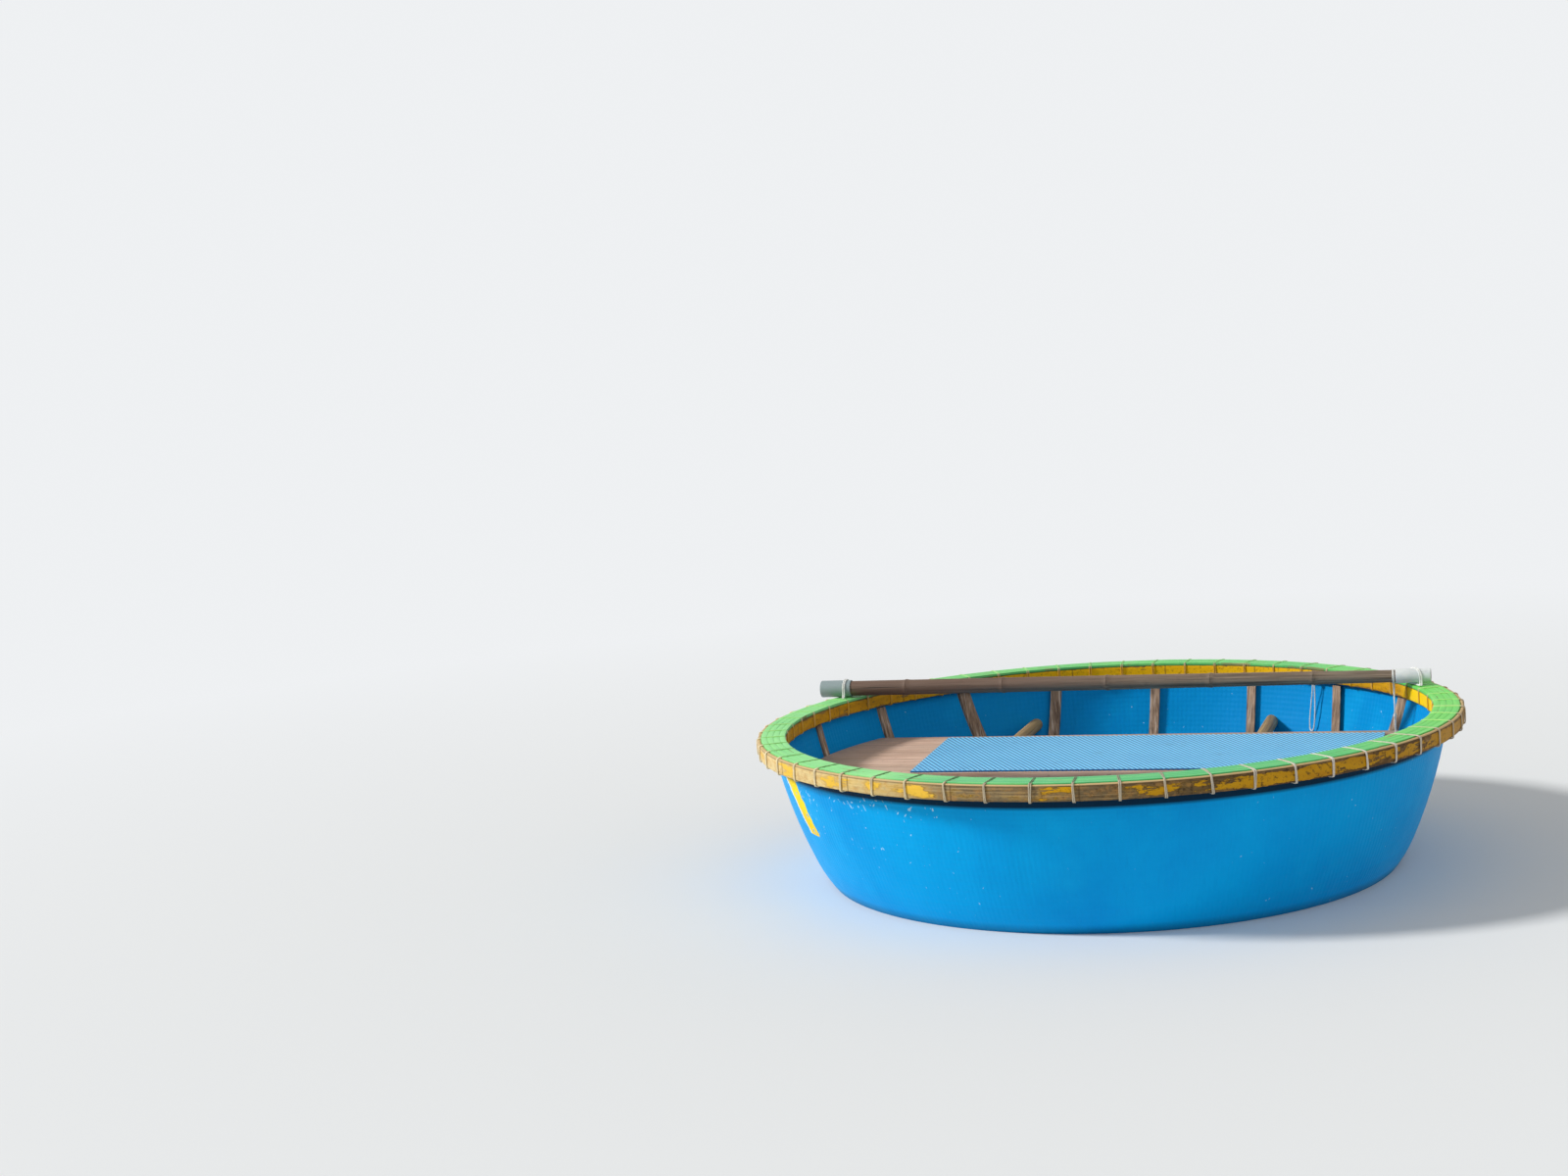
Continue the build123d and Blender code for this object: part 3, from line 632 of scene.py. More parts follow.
# The materials in use
PAINT = hull_paint()
CROWN = crown_paint()
RAW = raw_split_bamboo()
RIBS = rib_bamboo()
OUTER = worn_lath_paint(
    "flaked_ochre_paint_on_split_bamboo",
    # the bare wood and the paint are lighter on the left and darker in the middle and at the right: partly
    # the laths' own weathering, partly painted sunlight on the left and painted shade in the middle and at
    # the right
    raw=(
        (125, "#A88A5C"), (196, "#EBD39C"), (236, "#E6CC8E"), (250, "#CDB278"), (258, "#94815E"),
        (288, "#6E5A3C"), (300, "#5C4628"), (332, "#5C4224"), (345, "#8C6A40"), (10, "#A58452"),
        (80, "#A88A5C"),
    ),
    paint=(
        (150, "#DDA520"), (215, "#EEC244"), (254, "#F0C040"), (262, "#DCA206"), (300, "#C49000"),
        (330, "#B88600"), (355, "#B6861E"), (60, "#DDA520"),
    ),
    cover=(
        (150, 0.50), (205, 0.38), (221, 0.38), (224, 0.57), (227, 0.36), (233, 0.36), (235, 0.56),
        (237, 0.36), (242, 0.38), (244.5, 0.58), (247, 0.38), (250, 0.50), (253.5, 0.54), (256, 0.32),
        (270, 0.33), (271.5, 0.54), (276, 0.54), (277.5, 0.36), (284, 0.38), (288, 0.46), (292, 0.48),
        (297, 0.52), (303, 0.56), (340, 0.60), (352, 0.50), (60, 0.50),
    ),
    grain=((150, 0.5), (200, 0.16), (248, 0.22), (257, 0.65), (300, 0.80), (340, 0.7), (60, 0.5)),
    speckle=((150, 0.4), (200, 0.10), (250, 0.15), (280, 0.45), (302, 0.85), (342, 0.8), (0, 0.4)),
    paint_tone="#B07A00",
    low=BAND_BOTTOM,
    high=BAND_TOP - 4 * MM,
)
INNER = worn_lath_paint(
    "flaked_yellow_paint_on_split_bamboo",
    raw=((110, "#9A7546"), (20, "#9A7546")),
    # the ochre from 29 to 48 degrees, with thinner paint there, is a painted shadow of the cross pole; the
    # vivid yellow from 300 to 24 degrees and from 55 to 112 degrees is painted sunlight
    paint=(
        (112, "#F8BE00"), (130, "#CC9206"), (170, "#C48808"), (300, "#F4BE00"), (335, "#FFD800"),
        (24, "#FFD200"), (29, "#C88E0A"), (48, "#B88208"), (55, "#F8BE00"),
    ),
    cover=(
        (112, 0.70), (126, 0.58), (280, 0.64), (332, 0.95), (24, 0.92), (29, 0.60), (49, 0.60), (56, 0.70),
    ),
    grain=((110, 0.7), (300, 0.5), (28, 0.7)),
    speckle=((110, 0.5), (300, 0.3), (340, 0.1), (24, 0.1), (29, 0.5)),
    paint_tone="#F8BC00",
    low=INNER_BAND_BOTTOM,
    high=WALL_TOP,
    scale=12.0,
)
TWINE = lashing_twine()
CORD = white_cord()
POLE = culm_bamboo("weathered_bamboo_culm", "x", "#927E68", "#483A2D", "#7E705E", "#624436")
BEARER = culm_bamboo("dry_bamboo_culm", "y", "#B79A68", "#6F5636", "#C9B386", "#A58A5E")
SLEEVE = sleeve_plastic()
PLANK = plank_wood()
MAT = mat_rubber()
PADDLE = paddle_wood()
BLADE = blade_paint()


# CAD nodes that keep their own shape
def dress(name, material):
    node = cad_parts[name]
    node.data.materials.clear()
    node.data.materials.append(material)


dress("hull_shell", PAINT)
for name in sorted(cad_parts):
    if name.startswith("rib_"):
        dress(name, RIBS)
for name in ("outer_core_1", "outer_core_2", "inner_core"):
    dress(name, RAW)
for name in ("sleeve_left", "sleeve_right"):
    dress(name, SLEEVE)


# Hoops of the rim: a section is drawn flat, its corners are rounded, and it is spun round the boat
HOOP_STEPS = 288
INNER_BAND_THICKNESS = 10 * MM
LATH_GROWTH = 0.45 * MM     # paint has nearly closed the gaps
FACE_ROOM = 1.2 * MM        # left inside the CAD outline for a face's swell and unevenness


def hoop(inner, outer, bottom, top, corner, swell, segments):
    """`swell` is how far the outer face bulges and the top rises in their middles."""
    middle = ((inner + outer) / 2, 0, (bottom + top) / 2)
    select_nothing()
    bpy.ops.mesh.primitive_grid_add(
        x_subdivisions=segments[0], y_subdivisions=segments[1], size=1,
        location=middle, rotation=(math.pi / 2, 0, 0),
    )
    piece = bpy.context.object
    piece.scale = (outer - inner, top - bottom, 1)
    apply_place(piece)
    edit(piece)
    select_mesh()
    bpy.ops.mesh.dissolve_faces()
    faces = ((0, outer, bottom, top, swell[0]), (2, top, inner, outer, swell[1]))
    for axis, face, low, high, bulge in faces:
        other = 2 - axis
        centre = (low + high) / 2
        for share in (0.25, 0.5, 0.75):
            level = low + share * (high - low)
            pick(piece, lambda co: abs(co[axis] - face) < NEAR and abs(co[other] - level) < NEAR)
            move = [0, 0, 0]
            move[axis] = bulge * (1 - ((level - centre) / (high - centre)) ** 2)
            bpy.ops.transform.translate(value=move)
    pick(piece, lambda co: (abs(co.x - inner) < NEAR or abs(co.x - outer) < NEAR)
         and (abs(co.z - bottom) < NEAR or abs(co.z - top) < NEAR))
    bpy.ops.mesh.bevel(affect="VERTICES", offset=corner, segments=3)
    select_mesh()
    bpy.ops.mesh.delete(type="ONLY_FACE")
    select_mesh()
    bpy.ops.mesh.spin(steps=HOOP_STEPS, angle=2 * math.pi, center=(0, 0, 0), axis=(0, 0, 1))
    select_mesh()
    bpy.ops.mesh.remove_doubles(threshold=SAME)
    turn_outwards()
    return piece


def make_rim():
    band = hoop(
        radius_of("outer_core_2"), RIM_OUTER - FACE_ROOM, BAND_BOTTOM, BAND_TOP,
        corner=3.2 * MM, swell=(1.0 * MM, 0), segments=(1, 4),
    )
    uneven(band, strength=1.6 * MM, size=0.11)
    smooth(band)
    finish(band, "outer_band_lath", OUTER, "outer_band")
    inner = hoop(
        RIM_INNER, RIM_INNER + INNER_BAND_THICKNESS, INNER_BAND_BOTTOM, WALL_TOP - 0.5 * MM,
        corner=2.4 * MM, swell=(0, 0), segments=(1, 4),
    )
    uneven(inner, strength=1.2 * MM, size=0.10)
    smooth(inner)
    finish(inner, "inner_band_lath", INNER, "inner_band")
    for index in range(1, CROWN_LATHS + 1):
        name = f"crown_lath_{index}"
        lath = hoop(
            inner_radius_of(name) - (LATH_GROWTH if index > 1 else 0), radius_of(name) + LATH_GROWTH,
            WALL_TOP, RIM_TOP - FACE_ROOM, corner=0.7 * MM, swell=(0, 0.7 * MM), segments=(4, 1),
        )
        uneven(lath, strength=1.4 * MM, size=0.09 + 0.02 * index)
        smooth(lath)
        finish(lath, f"crown_cover_{index}", CROWN, name)


make_rim()


# Cords: a route's points are the control points of one smooth curve
def cord_curve(name, points, diameter, closed=False, sides=2, resolution=4):
    data = bpy.data.curves.new(name, "CURVE")
    data.dimensions = "3D"
    spline = data.splines.new("NURBS")
    spline.points.add(len(points) - 1)
    for point, place in zip(spline.points, points):
        point.co = (*place, 1)
    spline.order_u = 3
    spline.use_cyclic_u = closed
    spline.use_endpoint_u = not closed
    spline.resolution_u = resolution
    data.bevel_depth = diameter / 2
    data.bevel_resolution = sides
    data.use_fill_caps = not closed
    piece = bpy.data.objects.new(name, data)
    bpy.context.scene.collection.objects.link(piece)
    return piece


def to_mesh(piece):
    only(piece)
    bpy.ops.object.convert(target="MESH")
    return bpy.context.object


TWINE_RADIUS = 1.8 * MM
LASHING_HOLE_INSET = 13.5 * MM          # from the wall's top edge inwards to the middle of its slots
LASHING_LEANS = (1.6, -1.2, 3.0, -2.6)  # of the four patterns, in millimetres
LASHING_PLAY = 0.12                     # degrees that a lashing is off its even place at most
SEED = 11


def lashing_turn(side, lean):
    """One turn of twine round the rim's section, at azimuth 0, a cord's radius to one side."""
    r = TWINE_RADIUS
    out = RIM_OUTER + r
    inn = RIM_INNER - r
    top = RIM_TOP - 0.4 * MM
    low = LASHING_BOTTOM + r
    hole = radius_of("hull_shell") - LASHING_HOLE_INSET
    # radius, height and shift along the rim, as a share of the lean
    table = (
        (inn + 4 * MM, top, 0.9), (inn + 0.03, top + 0.2 * MM, 0.6), ((inn + out) / 2, top, 0.1),
        (out - 0.03, top, -0.5), (out - 7 * MM, top - 1 * MM, -0.8), (out - 0.5 * MM, BAND_TOP, -1.0),
        (out, BAND_TOP - 8 * MM, -0.9), (out + 0.4 * MM, (BAND_TOP + BAND_BOTTOM) / 2, -0.3),
        (out, BAND_BOTTOM + 6 * MM, 0.2), (out - 0.5 * MM, BAND_BOTTOM - r, 0.4),
        (out - 9 * MM, BAND_BOTTOM - 1.5 * r, 0.5), (hole + 0.02, low + 1 * MM, 0.5), (hole, low, 0.5),
        (hole - 0.02, low, 0.5), (inn + 8 * MM, low, 0.6), (inn + 0.3 * MM, INNER_BAND_BOTTOM, 0.7),
        (inn, INNER_BAND_BOTTOM + 10 * MM, 0.8), (inn - 0.3 * MM, (WALL_TOP + INNER_BAND_BOTTOM) / 2, 0.9),
        (inn, WALL_TOP - 6 * MM, 1.0), (inn + 0.3 * MM, top - 3 * MM, 1.0),
    )
    points = [(radius, side * r + share * lean, height) for radius, height, share in table]
    return cord_curve("turn", points, 2 * r, closed=True, sides=1, resolution=2)


def lashing_turns():
    """Directions of the lashings: the middles of the CAD node's separate loops."""
    loops = {}
    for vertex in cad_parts["rim_lashings"].data.vertices:
        if vertex.co.z > RIM_TOP + 1 * MM:
            degrees = math.degrees(math.atan2(vertex.co.y, vertex.co.x)) % 360
            loops.setdefault(round(degrees), []).append(degrees)
    turns = []
    for degrees in sorted(sum(loops.values(), [])):
        if turns and degrees - turns[-1][-1] < 1.0:
            turns[-1].append(degrees)
        else:
            turns.append([degrees])
    return [(group[0] + group[-1]) / 2 for group in turns]


def make_lashings():
    draw = random.Random(SEED)
    pieces = []
    patterns = []
    for lean in LASHING_LEANS:
        turns = [to_mesh(lashing_turn(side, lean * MM * (1 if side > 0 else 0.4))) for side in (1, -1)]
        patterns.append(joined(turns))
    for turn in lashing_turns():
        pattern = draw.choice(patterns)
        copy = pattern.copy()
        copy.data = pattern.data.copy()
        bpy.context.scene.collection.objects.link(copy)
        copy.rotation_euler.z = math.radians(turn + draw.uniform(-LASHING_PLAY, LASHING_PLAY))
        apply_place(copy)
        pieces.append(copy)
    for pattern in patterns:
        bpy.data.objects.remove(pattern)
    twines = joined(pieces)
    smooth(twines, 60)
    finish(twines, "rim_twine", TWINE, "rim_lashings")


make_lashings()


# Bamboo culms: rings are extruded one after another, with a ridge and a groove at each joint
CULM_SIDES = 40


def culm(rings, wall, depth):
    """`rings` holds places along +Z and radii, `wall` and `depth` are of the hollow at each end."""
    place, radius = rings[0]
    select_nothing()
    bpy.ops.mesh.primitive_circle_add(vertices=CULM_SIDES, radius=radius, location=(0, 0, place))
    piece = bpy.context.object
    apply_place(piece)
    edit(piece)
    select_mesh()
    for next_place, next_radius in rings[1:]:
        bpy.ops.mesh.extrude_region_move(TRANSFORM_OT_translate={"value": (0, 0, next_place - place)})
        scale = next_radius / radius
        bpy.ops.transform.resize(value=(scale, scale, 1), center_override=(0, 0, next_place))
        place, radius = next_place, next_radius
    hollow(place, radius, wall, -depth)
    first_place, first_radius = rings[0]
    pick(piece, lambda co: abs(co.z - first_place) < SAME)
    hollow(first_place, first_radius, wall, depth)
    turn_outwards()
    return piece


def hollow(place, radius, wall, depth):
    """Closes the selected end ring of a culm with a bore that stops at the next joint."""
    if not wall:
        bpy.ops.mesh.edge_face_add()
        return
    scale = (radius - wall) / radius
    bpy.ops.mesh.extrude_region_move(TRANSFORM_OT_translate={"value": (0, 0, 0)})
    bpy.ops.transform.resize(value=(scale, scale, 1), center_override=(0, 0, place))
    bpy.ops.mesh.extrude_region_move(TRANSFORM_OT_translate={"value": (0, 0, depth)})
    bpy.ops.mesh.edge_face_add()


# shift along the culm and swell at a joint, in millimetres
JOINT = (
    (-16, 0.0), (-6, 0.7), (-2.5, 2.0), (-0.8, 1.9), (0, 0.9), (0.8, 2.0), (3, 1.7), (8, 0.5), (16, 0.0),
)


END_EASE = 1.0 * MM         # of a culm's cut ends
JOINT_CLEAR = 0.02          # plain rings keep this far from a joint
END_CLEAR = 0.015           # and this far from an end


def culm_rings(low, high, radius_at, joints, swell=1.0, every=0.05):
    """Rings of a tapered culm, with extra ones at each joint."""
    rings = [(low, radius_at(low) - END_EASE), (low + END_EASE, radius_at(low))]
    marks = [low + END_EASE]
    for joint in (*joints, high):
        count = max(1, round((joint - marks[-1]) / every))
        start = marks[-1] + JOINT_CLEAR
        end = joint - JOINT_CLEAR
        for index in range(count + 1):
            place = start + (end - start) * index / count
            if low + END_CLEAR < place < high - END_CLEAR:
                rings.append((place, radius_at(place)))
        if joint < high:
            for shift, bulge in JOINT:
                rings.append((joint + shift * MM, radius_at(joint) + swell * bulge * MM))
        marks.append(joint)
    rings += [(high - END_EASE, radius_at(high)), (high, radius_at(high) - END_EASE)]
    return sorted(rings)


POLE_JOINTS = (-0.715, -0.390, -0.052, 0.275, 0.590)
POLE_BELLY = 1.5 * MM       # how much its middle is thicker than a straight taper
POLE_WALL = 5 * MM
POLE_BORE_DEPTH = 0.09
BEARER_JOINTS = (-0.55, -0.20, 0.17, 0.53)
BEARER_WALL = 8 * MM
BEARER_BORE_DEPTH = 0.05
BEARER_SPARE = 0.05         # cut off each end when it is scribed to the wall
BEARER_GAP = 1.2 * MM       # between a bearer's scribed end and the wall
JOINT_ROOM = 1.8 * MM       # by which a bearer is thinner than the CAD one between its joints


def pole_end_radius(end):
    """Radius of the CAD pole at one of its ends."""
    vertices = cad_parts["cross_pole"].data.vertices
    return max(
        math.hypot(vertex.co.y - POLE_Y, vertex.co.z - POLE_Z)
        for vertex in vertices if abs(vertex.co.x - end) < NEAR
    )


def make_pole():
    left, right = (corner.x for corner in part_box("cross_pole"))
    thick, thin = pole_end_radius(left), pole_end_radius(right)

    def radius_at(place):
        share = (place - left) / (right - left)
        return thick + share * (thin - thick) + POLE_BELLY * (1 - (2 * share - 1) ** 2)

    pole = culm(culm_rings(left, right, radius_at, POLE_JOINTS), POLE_WALL, POLE_BORE_DEPTH)
    pole.rotation_euler = (0, math.pi / 2, 0)
    pole.location = (0, POLE_Y, POLE_Z)
    apply_place(pole)
    smooth(pole, 50)
    finish(pole, "pole_culm", POLE, "cross_pole")


WALL_LEAN = 16.6            # degrees off upright where a bearer meets the wall


def scribe(piece, point, outward):
    """Cuts a bearer's end to the wall's slope and opens the culm's hollow in the cut."""
    select_mesh()
    bpy.ops.mesh.bisect(plane_co=point, plane_no=outward, use_fill=True, clear_outer=True)
    pick(piece, lambda co: abs((co - point).dot(outward)) < 2 * SAME)
    bpy.ops.mesh.inset(thickness=BEARER_WALL)
    inwards = -math.copysign(BEARER_BORE_DEPTH, outward.y)
    bpy.ops.mesh.extrude_region_move(TRANSFORM_OT_translate={"value": (0, inwards, 0)})


def make_bearers():
    for side in ("left", "right"):
        low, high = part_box(f"bearer_{side}")
        radius = (high.x - low.x) / 2
        x, z = (low.x + high.x) / 2, (low.z + high.z) / 2
        inside = abs(x) - radius
        wall_radius = math.hypot(inside, high.y) - BEARER_GAP
        reach = math.sqrt(wall_radius ** 2 - x ** 2)
        half = reach + BEARER_SPARE
        rings = culm_rings(-half, half, lambda place: radius - JOINT_ROOM, BEARER_JOINTS, 0.7)
        bearer = culm(rings, 0, 0)
        bearer.rotation_euler = (-math.pi / 2, 0, 0)
        bearer.location = (x, 0, z)
        apply_place(bearer)
        edit(bearer)
        for way in (1, -1):
            point = Vector((x, way * reach, z))
            outward = Vector((x, way * reach, -math.tan(math.radians(WALL_LEAN)) * wall_radius)).normalized()
            scribe(bearer, point, outward)
        turn_outwards()
        smooth(bearer, 50)
        finish(bearer, f"bearer_culm_{side}", BEARER, f"bearer_{side}")


make_pole()
make_bearers()


# Planks and the paddle's blade: copies of the CAD solids with their edges eased
def eased_copy(node, width, segments=2):
    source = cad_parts[node]
    piece = bpy.data.objects.new(node + "_eased", source.data.copy())
    bpy.context.scene.collection.objects.link(piece)
    edit(piece)
    select_mesh()
    bpy.ops.mesh.remove_doubles(threshold=SAME)
    bpy.ops.mesh.dissolve_limited(angle_limit=math.radians(1))
    leave()
    sharp = math.radians(30)
    apply_modifier(
        piece, "BEVEL", width=width, segments=segments, limit_method="ANGLE", angle_limit=sharp
    )
    smooth(piece)
    return piece


BENCH_PLANKS = 5

for index in range(1, BENCH_PLANKS + 1):
    plank = eased_copy(f"bench_plank_{index}", 1.6 * MM)
    finish(plank, f"plank_board_{index}", PLANK, f"bench_plank_{index}")

blade = eased_copy("paddle_blade", 5.0 * MM, 4)
finish(blade, "paddle_blade_shaped", BLADE, "paddle_blade")
dress("paddle_shaft", PADDLE)


# Mat: one ridge is drawn, repeated, turned, and cut to the mat's outline
RIDGED_SIZE = 2.4           # of the square of ridges that the mat is cut from
RIDGED_MIDDLE = (0.1, 0.12)


def mat_corners():
    """The four top corners of the CAD mat, in order round it."""
    low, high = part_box("bench_mat")
    middle = (low + high) / 2
    tops = [v.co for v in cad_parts["bench_mat"].data.vertices if v.co.z > (MAT_TOP + MAT_BOTTOM) / 2]
    corners = {}
    for co in tops:
        corners[(co.x > middle.x, co.y > middle.y)] = (co.x, co.y)
    return [corners[key] for key in ((False, False), (True, False), (True, True), (False, True))]


def make_mat():
    corners = mat_corners()
    base = MAT_TOP - RIDGE_HEIGHT
    count = math.ceil(RIDGED_SIZE / RIDGE_PITCH)
    select_nothing()
    bpy.ops.mesh.primitive_grid_add(x_subdivisions=4, y_subdivisions=10, size=1, location=(0, 0, 0))
    mat = bpy.context.object
    mat.scale = (RIDGE_PITCH, RIDGED_SIZE, 1)
    apply_place(mat)
    edit(mat)
    for share, rise in ((0.0, 1.0), (0.25, 0.62)):
        level = share * RIDGE_PITCH
        pick(mat, lambda co: abs(abs(co.x) - level) < NEAR)
        bpy.ops.transform.translate(value=(0, 0, rise * RIDGE_HEIGHT))
    leave()
    apply_modifier(
        mat, "ARRAY", count=count, use_relative_offset=False, use_constant_offset=True,
        constant_offset_displace=(RIDGE_PITCH, 0, 0), use_merge_vertices=True, merge_threshold=NEAR,
    )
    mat.location = (-RIDGED_SIZE / 2, 0, 0)
    apply_place(mat)
    mat.rotation_euler = (0, 0, math.radians(RIDGE_TURN - 90))
    mat.location = (*RIDGED_MIDDLE, base)
    apply_place(mat)
    edit(mat)
    for start, end in zip(corners, corners[1:] + corners[:1]):
        select_mesh()
        bpy.ops.mesh.bisect(
            plane_co=(*start, 0), plane_no=(end[1] - start[1], start[0] - end[0], 0), clear_outer=True
        )
    leave()
    apply_modifier(mat, "SOLIDIFY", thickness=base - MAT_BOTTOM, offset=-1.0)
    smooth(mat, 60)
    finish(mat, "ridged_mat_sheet", MAT, "bench_mat")


make_mat()


# Ties, stay and hanging loop
TIE_RADIUS = 2.5 * MM
TIE_FOOT = 12 * MM          # how far a turn runs on over the crown from its sleeve's foot


def tie_points(place, reach, slant):
    """One turn from foot to foot on the crown, over the sleeve, at a place along the pole."""
    ground = RIM_TOP + TIE_RADIUS
    points = [(place + slant, POLE_Y - reach - TIE_FOOT, ground)]
    points.append((place + slant, POLE_Y - reach - 1 * MM, ground + 0.5 * MM))
    for degrees in range(180, -1, -30):
        turn = math.radians(degrees)
        shift = slant * -math.cos(turn)
        points.append((place + shift, POLE_Y + reach * math.cos(turn), POLE_Z + reach * math.sin(turn)))
    points.append((place - slant, POLE_Y + reach + 1 * MM, ground + 0.5 * MM))
    points.append((place - slant, POLE_Y + reach + TIE_FOOT, ground))
    return points


def make_tie(name, sleeve, place, slant, under):
    """Two turns side by side over a sleeve, and under it too where it stands clear of the rim."""
    low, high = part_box(name)
    reach = (sleeve[1].z - sleeve[0].z) / 2 + TIE_RADIUS
    turns = []
    for side in (1, -1):
        points = tie_points((low.x + high.x) / 2 + place + side * TIE_RADIUS, reach, slant)
        if under:
            back = points[-1]
            for share in (0.5, 1, 1.5):
                points.append((back[0] + slant * share, POLE_Y + reach * (1 - share), back[2]))
        turns.append(to_mesh(cord_curve("turn", points, 2 * TIE_RADIUS, closed=under)))
    tie = joined(turns)
    smooth(tie, 60)
    finish(tie, name + "_cord", CORD, name)


make_tie("pole_tie_left", SLEEVE_LEFT, 0, -2 * MM, False)
make_tie("pole_tie_right", SLEEVE_RIGHT, -14 * MM, 18 * MM, True)

STRAND_RADIUS = 1.5 * MM
STAY_TWIST = 1              # half turns that the two strands make round each other
KNOT_REACH = 3.4 * MM       # from the stay's middle to the middle of the line in its lump of knots
KNOT_PLACE = 0.33           # of the stay's height
KNOT_RISE = 0.32 * MM       # of each of its points


def make_stay():
    """Two tight strands with a lump of knots a third of the way up, and their turns round the pole."""
    low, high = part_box("bench_stay")
    middle = (low + high) / 2
    strands = []
    for side in (1, -1):
        points = []
        for index in range(13):
            share = index / 12
            turn = math.pi * STAY_TWIST * share
            away = 1.2 * side * STRAND_RADIUS
            points.append((
                middle.x + away * math.cos(turn), middle.y + away * math.sin(turn),
                low.z + share * (high.z - low.z),
            ))
        strands.append(to_mesh(cord_curve("strand", points, 2 * STRAND_RADIUS)))
    knot = []
    for index in range(25):
        turn = 2 * math.pi * index / 8
        knot.append((
            middle.x + KNOT_REACH * math.cos(turn), middle.y + KNOT_REACH * math.sin(turn),
            low.z + KNOT_PLACE * (high.z - low.z) + index * KNOT_RISE,
        ))
    strands.append(to_mesh(cord_curve("knot", knot, 2 * STRAND_RADIUS)))
    hitch = []
    reach = POLE_Z - high.z + 1.1 * STRAND_RADIUS
    for index in range(33):
        turn = 2 * math.pi * index / 16
        along = middle.x + (index / 16 - 1) * 2.1 * STRAND_RADIUS
        hitch.append((along, POLE_Y + reach * math.sin(turn), POLE_Z - reach * math.cos(turn)))
    strands.append(to_mesh(cord_curve("hitch", hitch, 2 * STRAND_RADIUS)))
    stay = joined(strands)
    smooth(stay, 60)
    finish(stay, "stay_cord", CORD, "bench_stay")


make_stay()

LOOP_LINE = 4 * MM
LOOP_TURN = 54.7            # degrees from +X
LOOP_KNOT_RADIUS = 6.5 * MM
LOOP_REACH = RIM_INNER - 0.3 * MM - LOOP_KNOT_RADIUS
LOOP_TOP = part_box("hanging_loop")[1].z
# along the rim, down from the knot and in from the rim, in millimetres
LOOP_ROUTE = (
    (-3.5, 0.0, 0.0), (-4.5, 24.0, 1.0), (-6.0, 56.0, 4.0), (-8.5, 92.0, 9.0),
    (-10.0, 128.0, 15.0), (-7.0, 157.0, 20.0), (7.0, 157.0, 20.0), (10.5, 128.0, 15.0),
    (10.5, 92.0, 9.0), (8.0, 56.0, 4.0), (5.0, 24.0, 1.0), (3.5, 0.0, 0.0),
)


def loop_point(along, down, inward):
    turn = math.radians(LOOP_TURN)
    reach = LOOP_REACH - inward * MM
    x = reach * math.cos(turn) - along * MM * math.sin(turn)
    y = reach * math.sin(turn) + along * MM * math.cos(turn)
    return x, y, LOOP_TOP - down * MM


def make_hanging_loop():
    points = [loop_point(*row) for row in LOOP_ROUTE]
    loop = cord_curve("loop_line", points, LOOP_LINE, sides=3)
    finish(loop, "loop_line", CORD, "hanging_loop")
    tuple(points[0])
    dress("loop_knot", CORD)


make_hanging_loop()


# Floor at the waterline, open inside the hull
BACKDROP = "#F4F6F8"
BACKDROP_LEVEL = 0.95
FLOOR_HOLE = 0.839          # radius, between the wall's two faces
FLOOR_SPREAD = 48           # how many times wider its outer edge is


def make_floor():
    """A wide ring whose inner edge is hidden in the hull's wall."""
    select_nothing()
    bpy.ops.mesh.primitive_circle_add(vertices=160, radius=FLOOR_HOLE, location=(0, 0, 0))
    floor = bpy.context.object
    edit(floor)
    select_mesh()
    bpy.ops.mesh.extrude_region_move(TRANSFORM_OT_translate={"value": (0, 0, 0)})
    bpy.ops.transform.resize(value=(FLOOR_SPREAD, FLOOR_SPREAD, 1), center_override=(0, 0, 0))
    leave()
    floor.name = "floor"
    material, add, shader, place = new_material("pale_floor")
    set_up(add, shader, "#E4E5E4", 0.9)
    # far from the boat the camera sees the backdrop's colour, so no edge of the floor shows
    away = add("MapRange", add("VectorMath", place, operation="LENGTH"), 1.6, 6.5)
    seen = add("Math", away, add("LightPath", output="Is Camera Ray"), operation="MULTIPLY")
    glow = add("Emission", BACKDROP, BACKDROP_LEVEL)
    blend = add("MixShader", seen, shader.outputs[0], glow)
    fill(material.node_tree.nodes["Material Output"].inputs[0], blend)
    floor.data.materials.append(material)


make_floor()


# Light: a soft key from the left, and an even sky
WORLD_LIGHT = 0.44
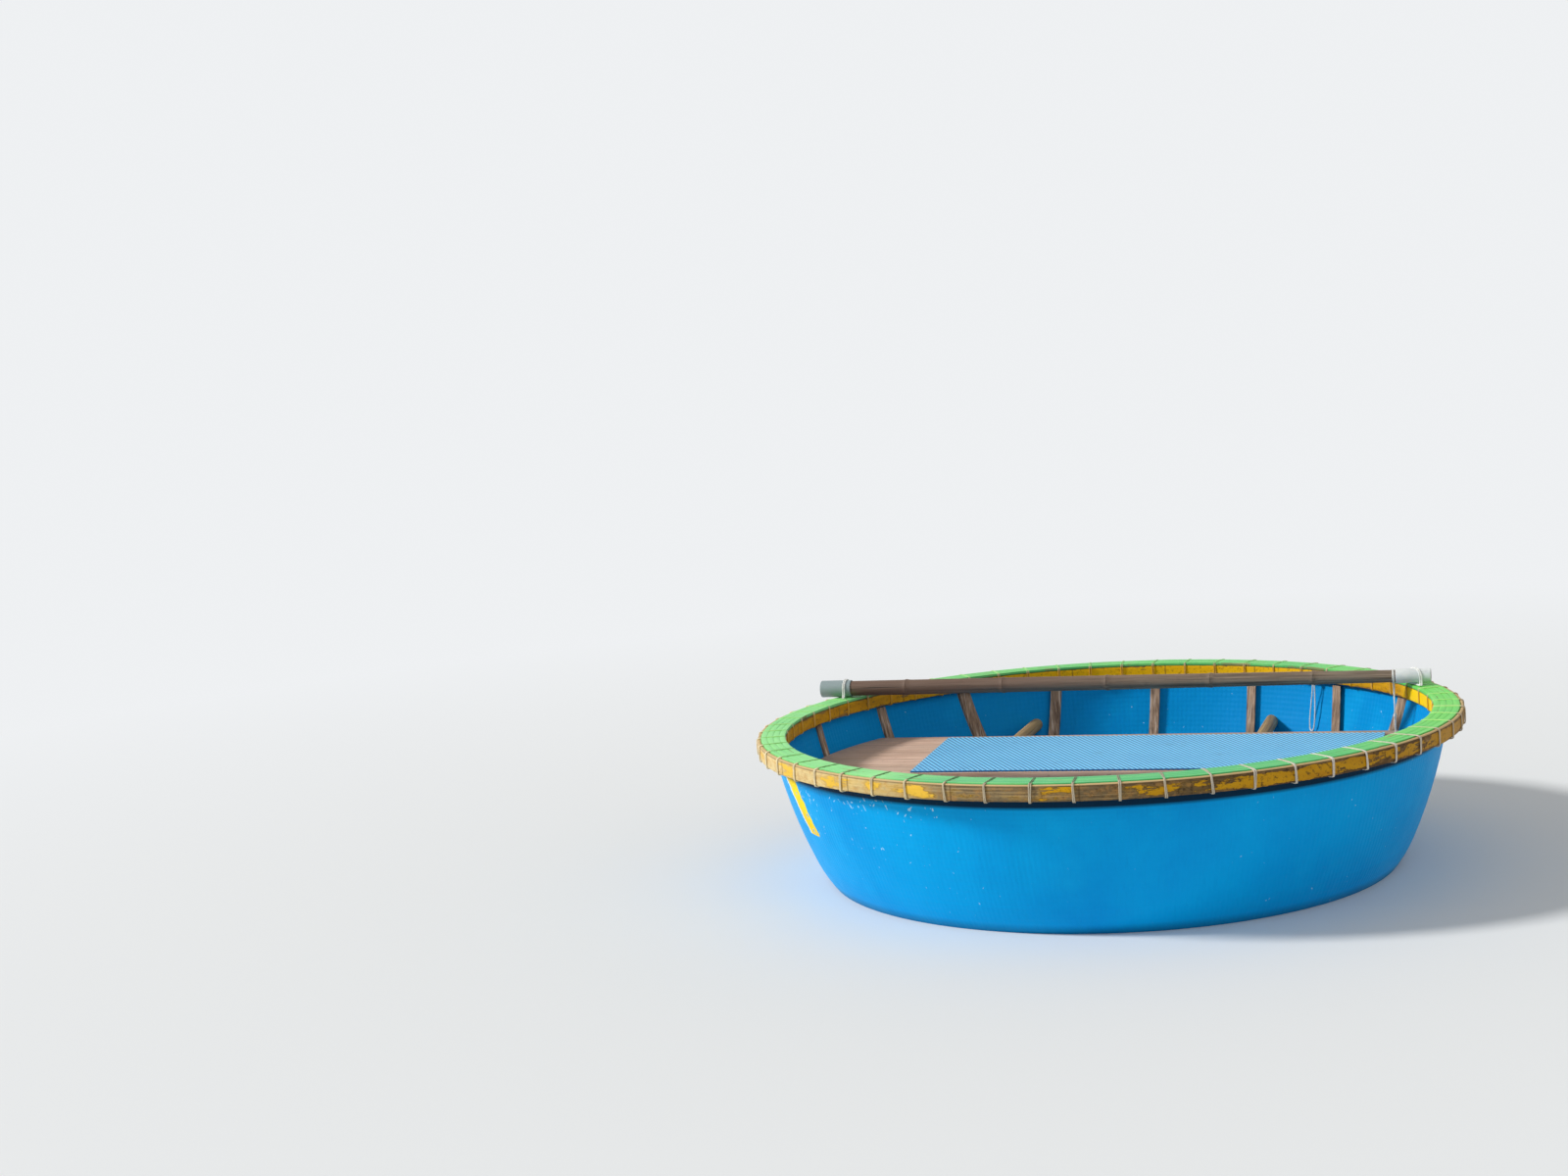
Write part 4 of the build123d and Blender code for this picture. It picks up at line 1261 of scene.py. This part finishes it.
# name, direction it comes from (degrees from +X), height above the horizon, strength, softness in degrees
SUNS = (("key", 198.0, 35.0, 2.85, 9.0), ("fill", 320.0, 35.0, 0.35, 60.0))


def make_light():
    world = bpy.data.worlds.new("studio")
    world.use_nodes = True
    bpy.context.scene.world = world
    world.node_tree.nodes.clear()
    add = functools.partial(add_node, world.node_tree)
    camera, glossy, clear = (
        add("LightPath", output=f"Is {ray} Ray") for ray in ("Camera", "Glossy", "Transmission")
    )
    seen = add("Math", camera, add("Math", glossy, clear, operation="MAXIMUM"), operation="MAXIMUM")
    sky = add("Background", BACKDROP, add("MapRange", seen, 0, 1, WORLD_LIGHT, BACKDROP_LEVEL))
    output = world.node_tree.nodes.new("ShaderNodeOutputWorld")
    fill(output.inputs[0], sky)
    for name, azimuth, elevation, energy, size in SUNS:
        data = bpy.data.lights.new(name, "SUN")
        data.energy = energy
        data.angle = math.radians(size)
        lamp = bpy.data.objects.new(name, data)
        bpy.context.scene.collection.objects.link(lamp)
        turn = Matrix.Rotation(math.radians(azimuth + 90), 4, "Z")
        lamp.matrix_world = turn @ Matrix.Rotation(math.radians(90 - elevation), 4, "X")


make_light()


# Camera at the photograph's place: its picture is 1600 by 1200
FOCAL_PIXELS = 2230.0
PICTURE_WIDTH = 1600.0
CAMERA_PLACE = (1.2552, -6.4501, 1.5802)
CAMERA_YAW = 19.135         # degrees, as the two below
CAMERA_PITCH = 5.99
CAMERA_ROLL = 4.294


def make_camera():
    data = bpy.data.cameras.new("camera")
    data.sensor_width = 36.0
    data.lens = FOCAL_PIXELS / PICTURE_WIDTH * data.sensor_width
    camera = bpy.data.objects.new("camera", data)
    bpy.context.scene.collection.objects.link(camera)
    camera.matrix_world = (
        Matrix.Translation(CAMERA_PLACE)
        @ Matrix.Rotation(math.radians(CAMERA_YAW), 4, "Z")
        @ Matrix.Rotation(math.radians(90 - CAMERA_PITCH), 4, "X")
        @ Matrix.Rotation(math.radians(-CAMERA_ROLL), 4, "Z")
    )
    bpy.context.scene.camera = camera
    bpy.context.scene.view_settings.view_transform = "Standard"


make_camera()
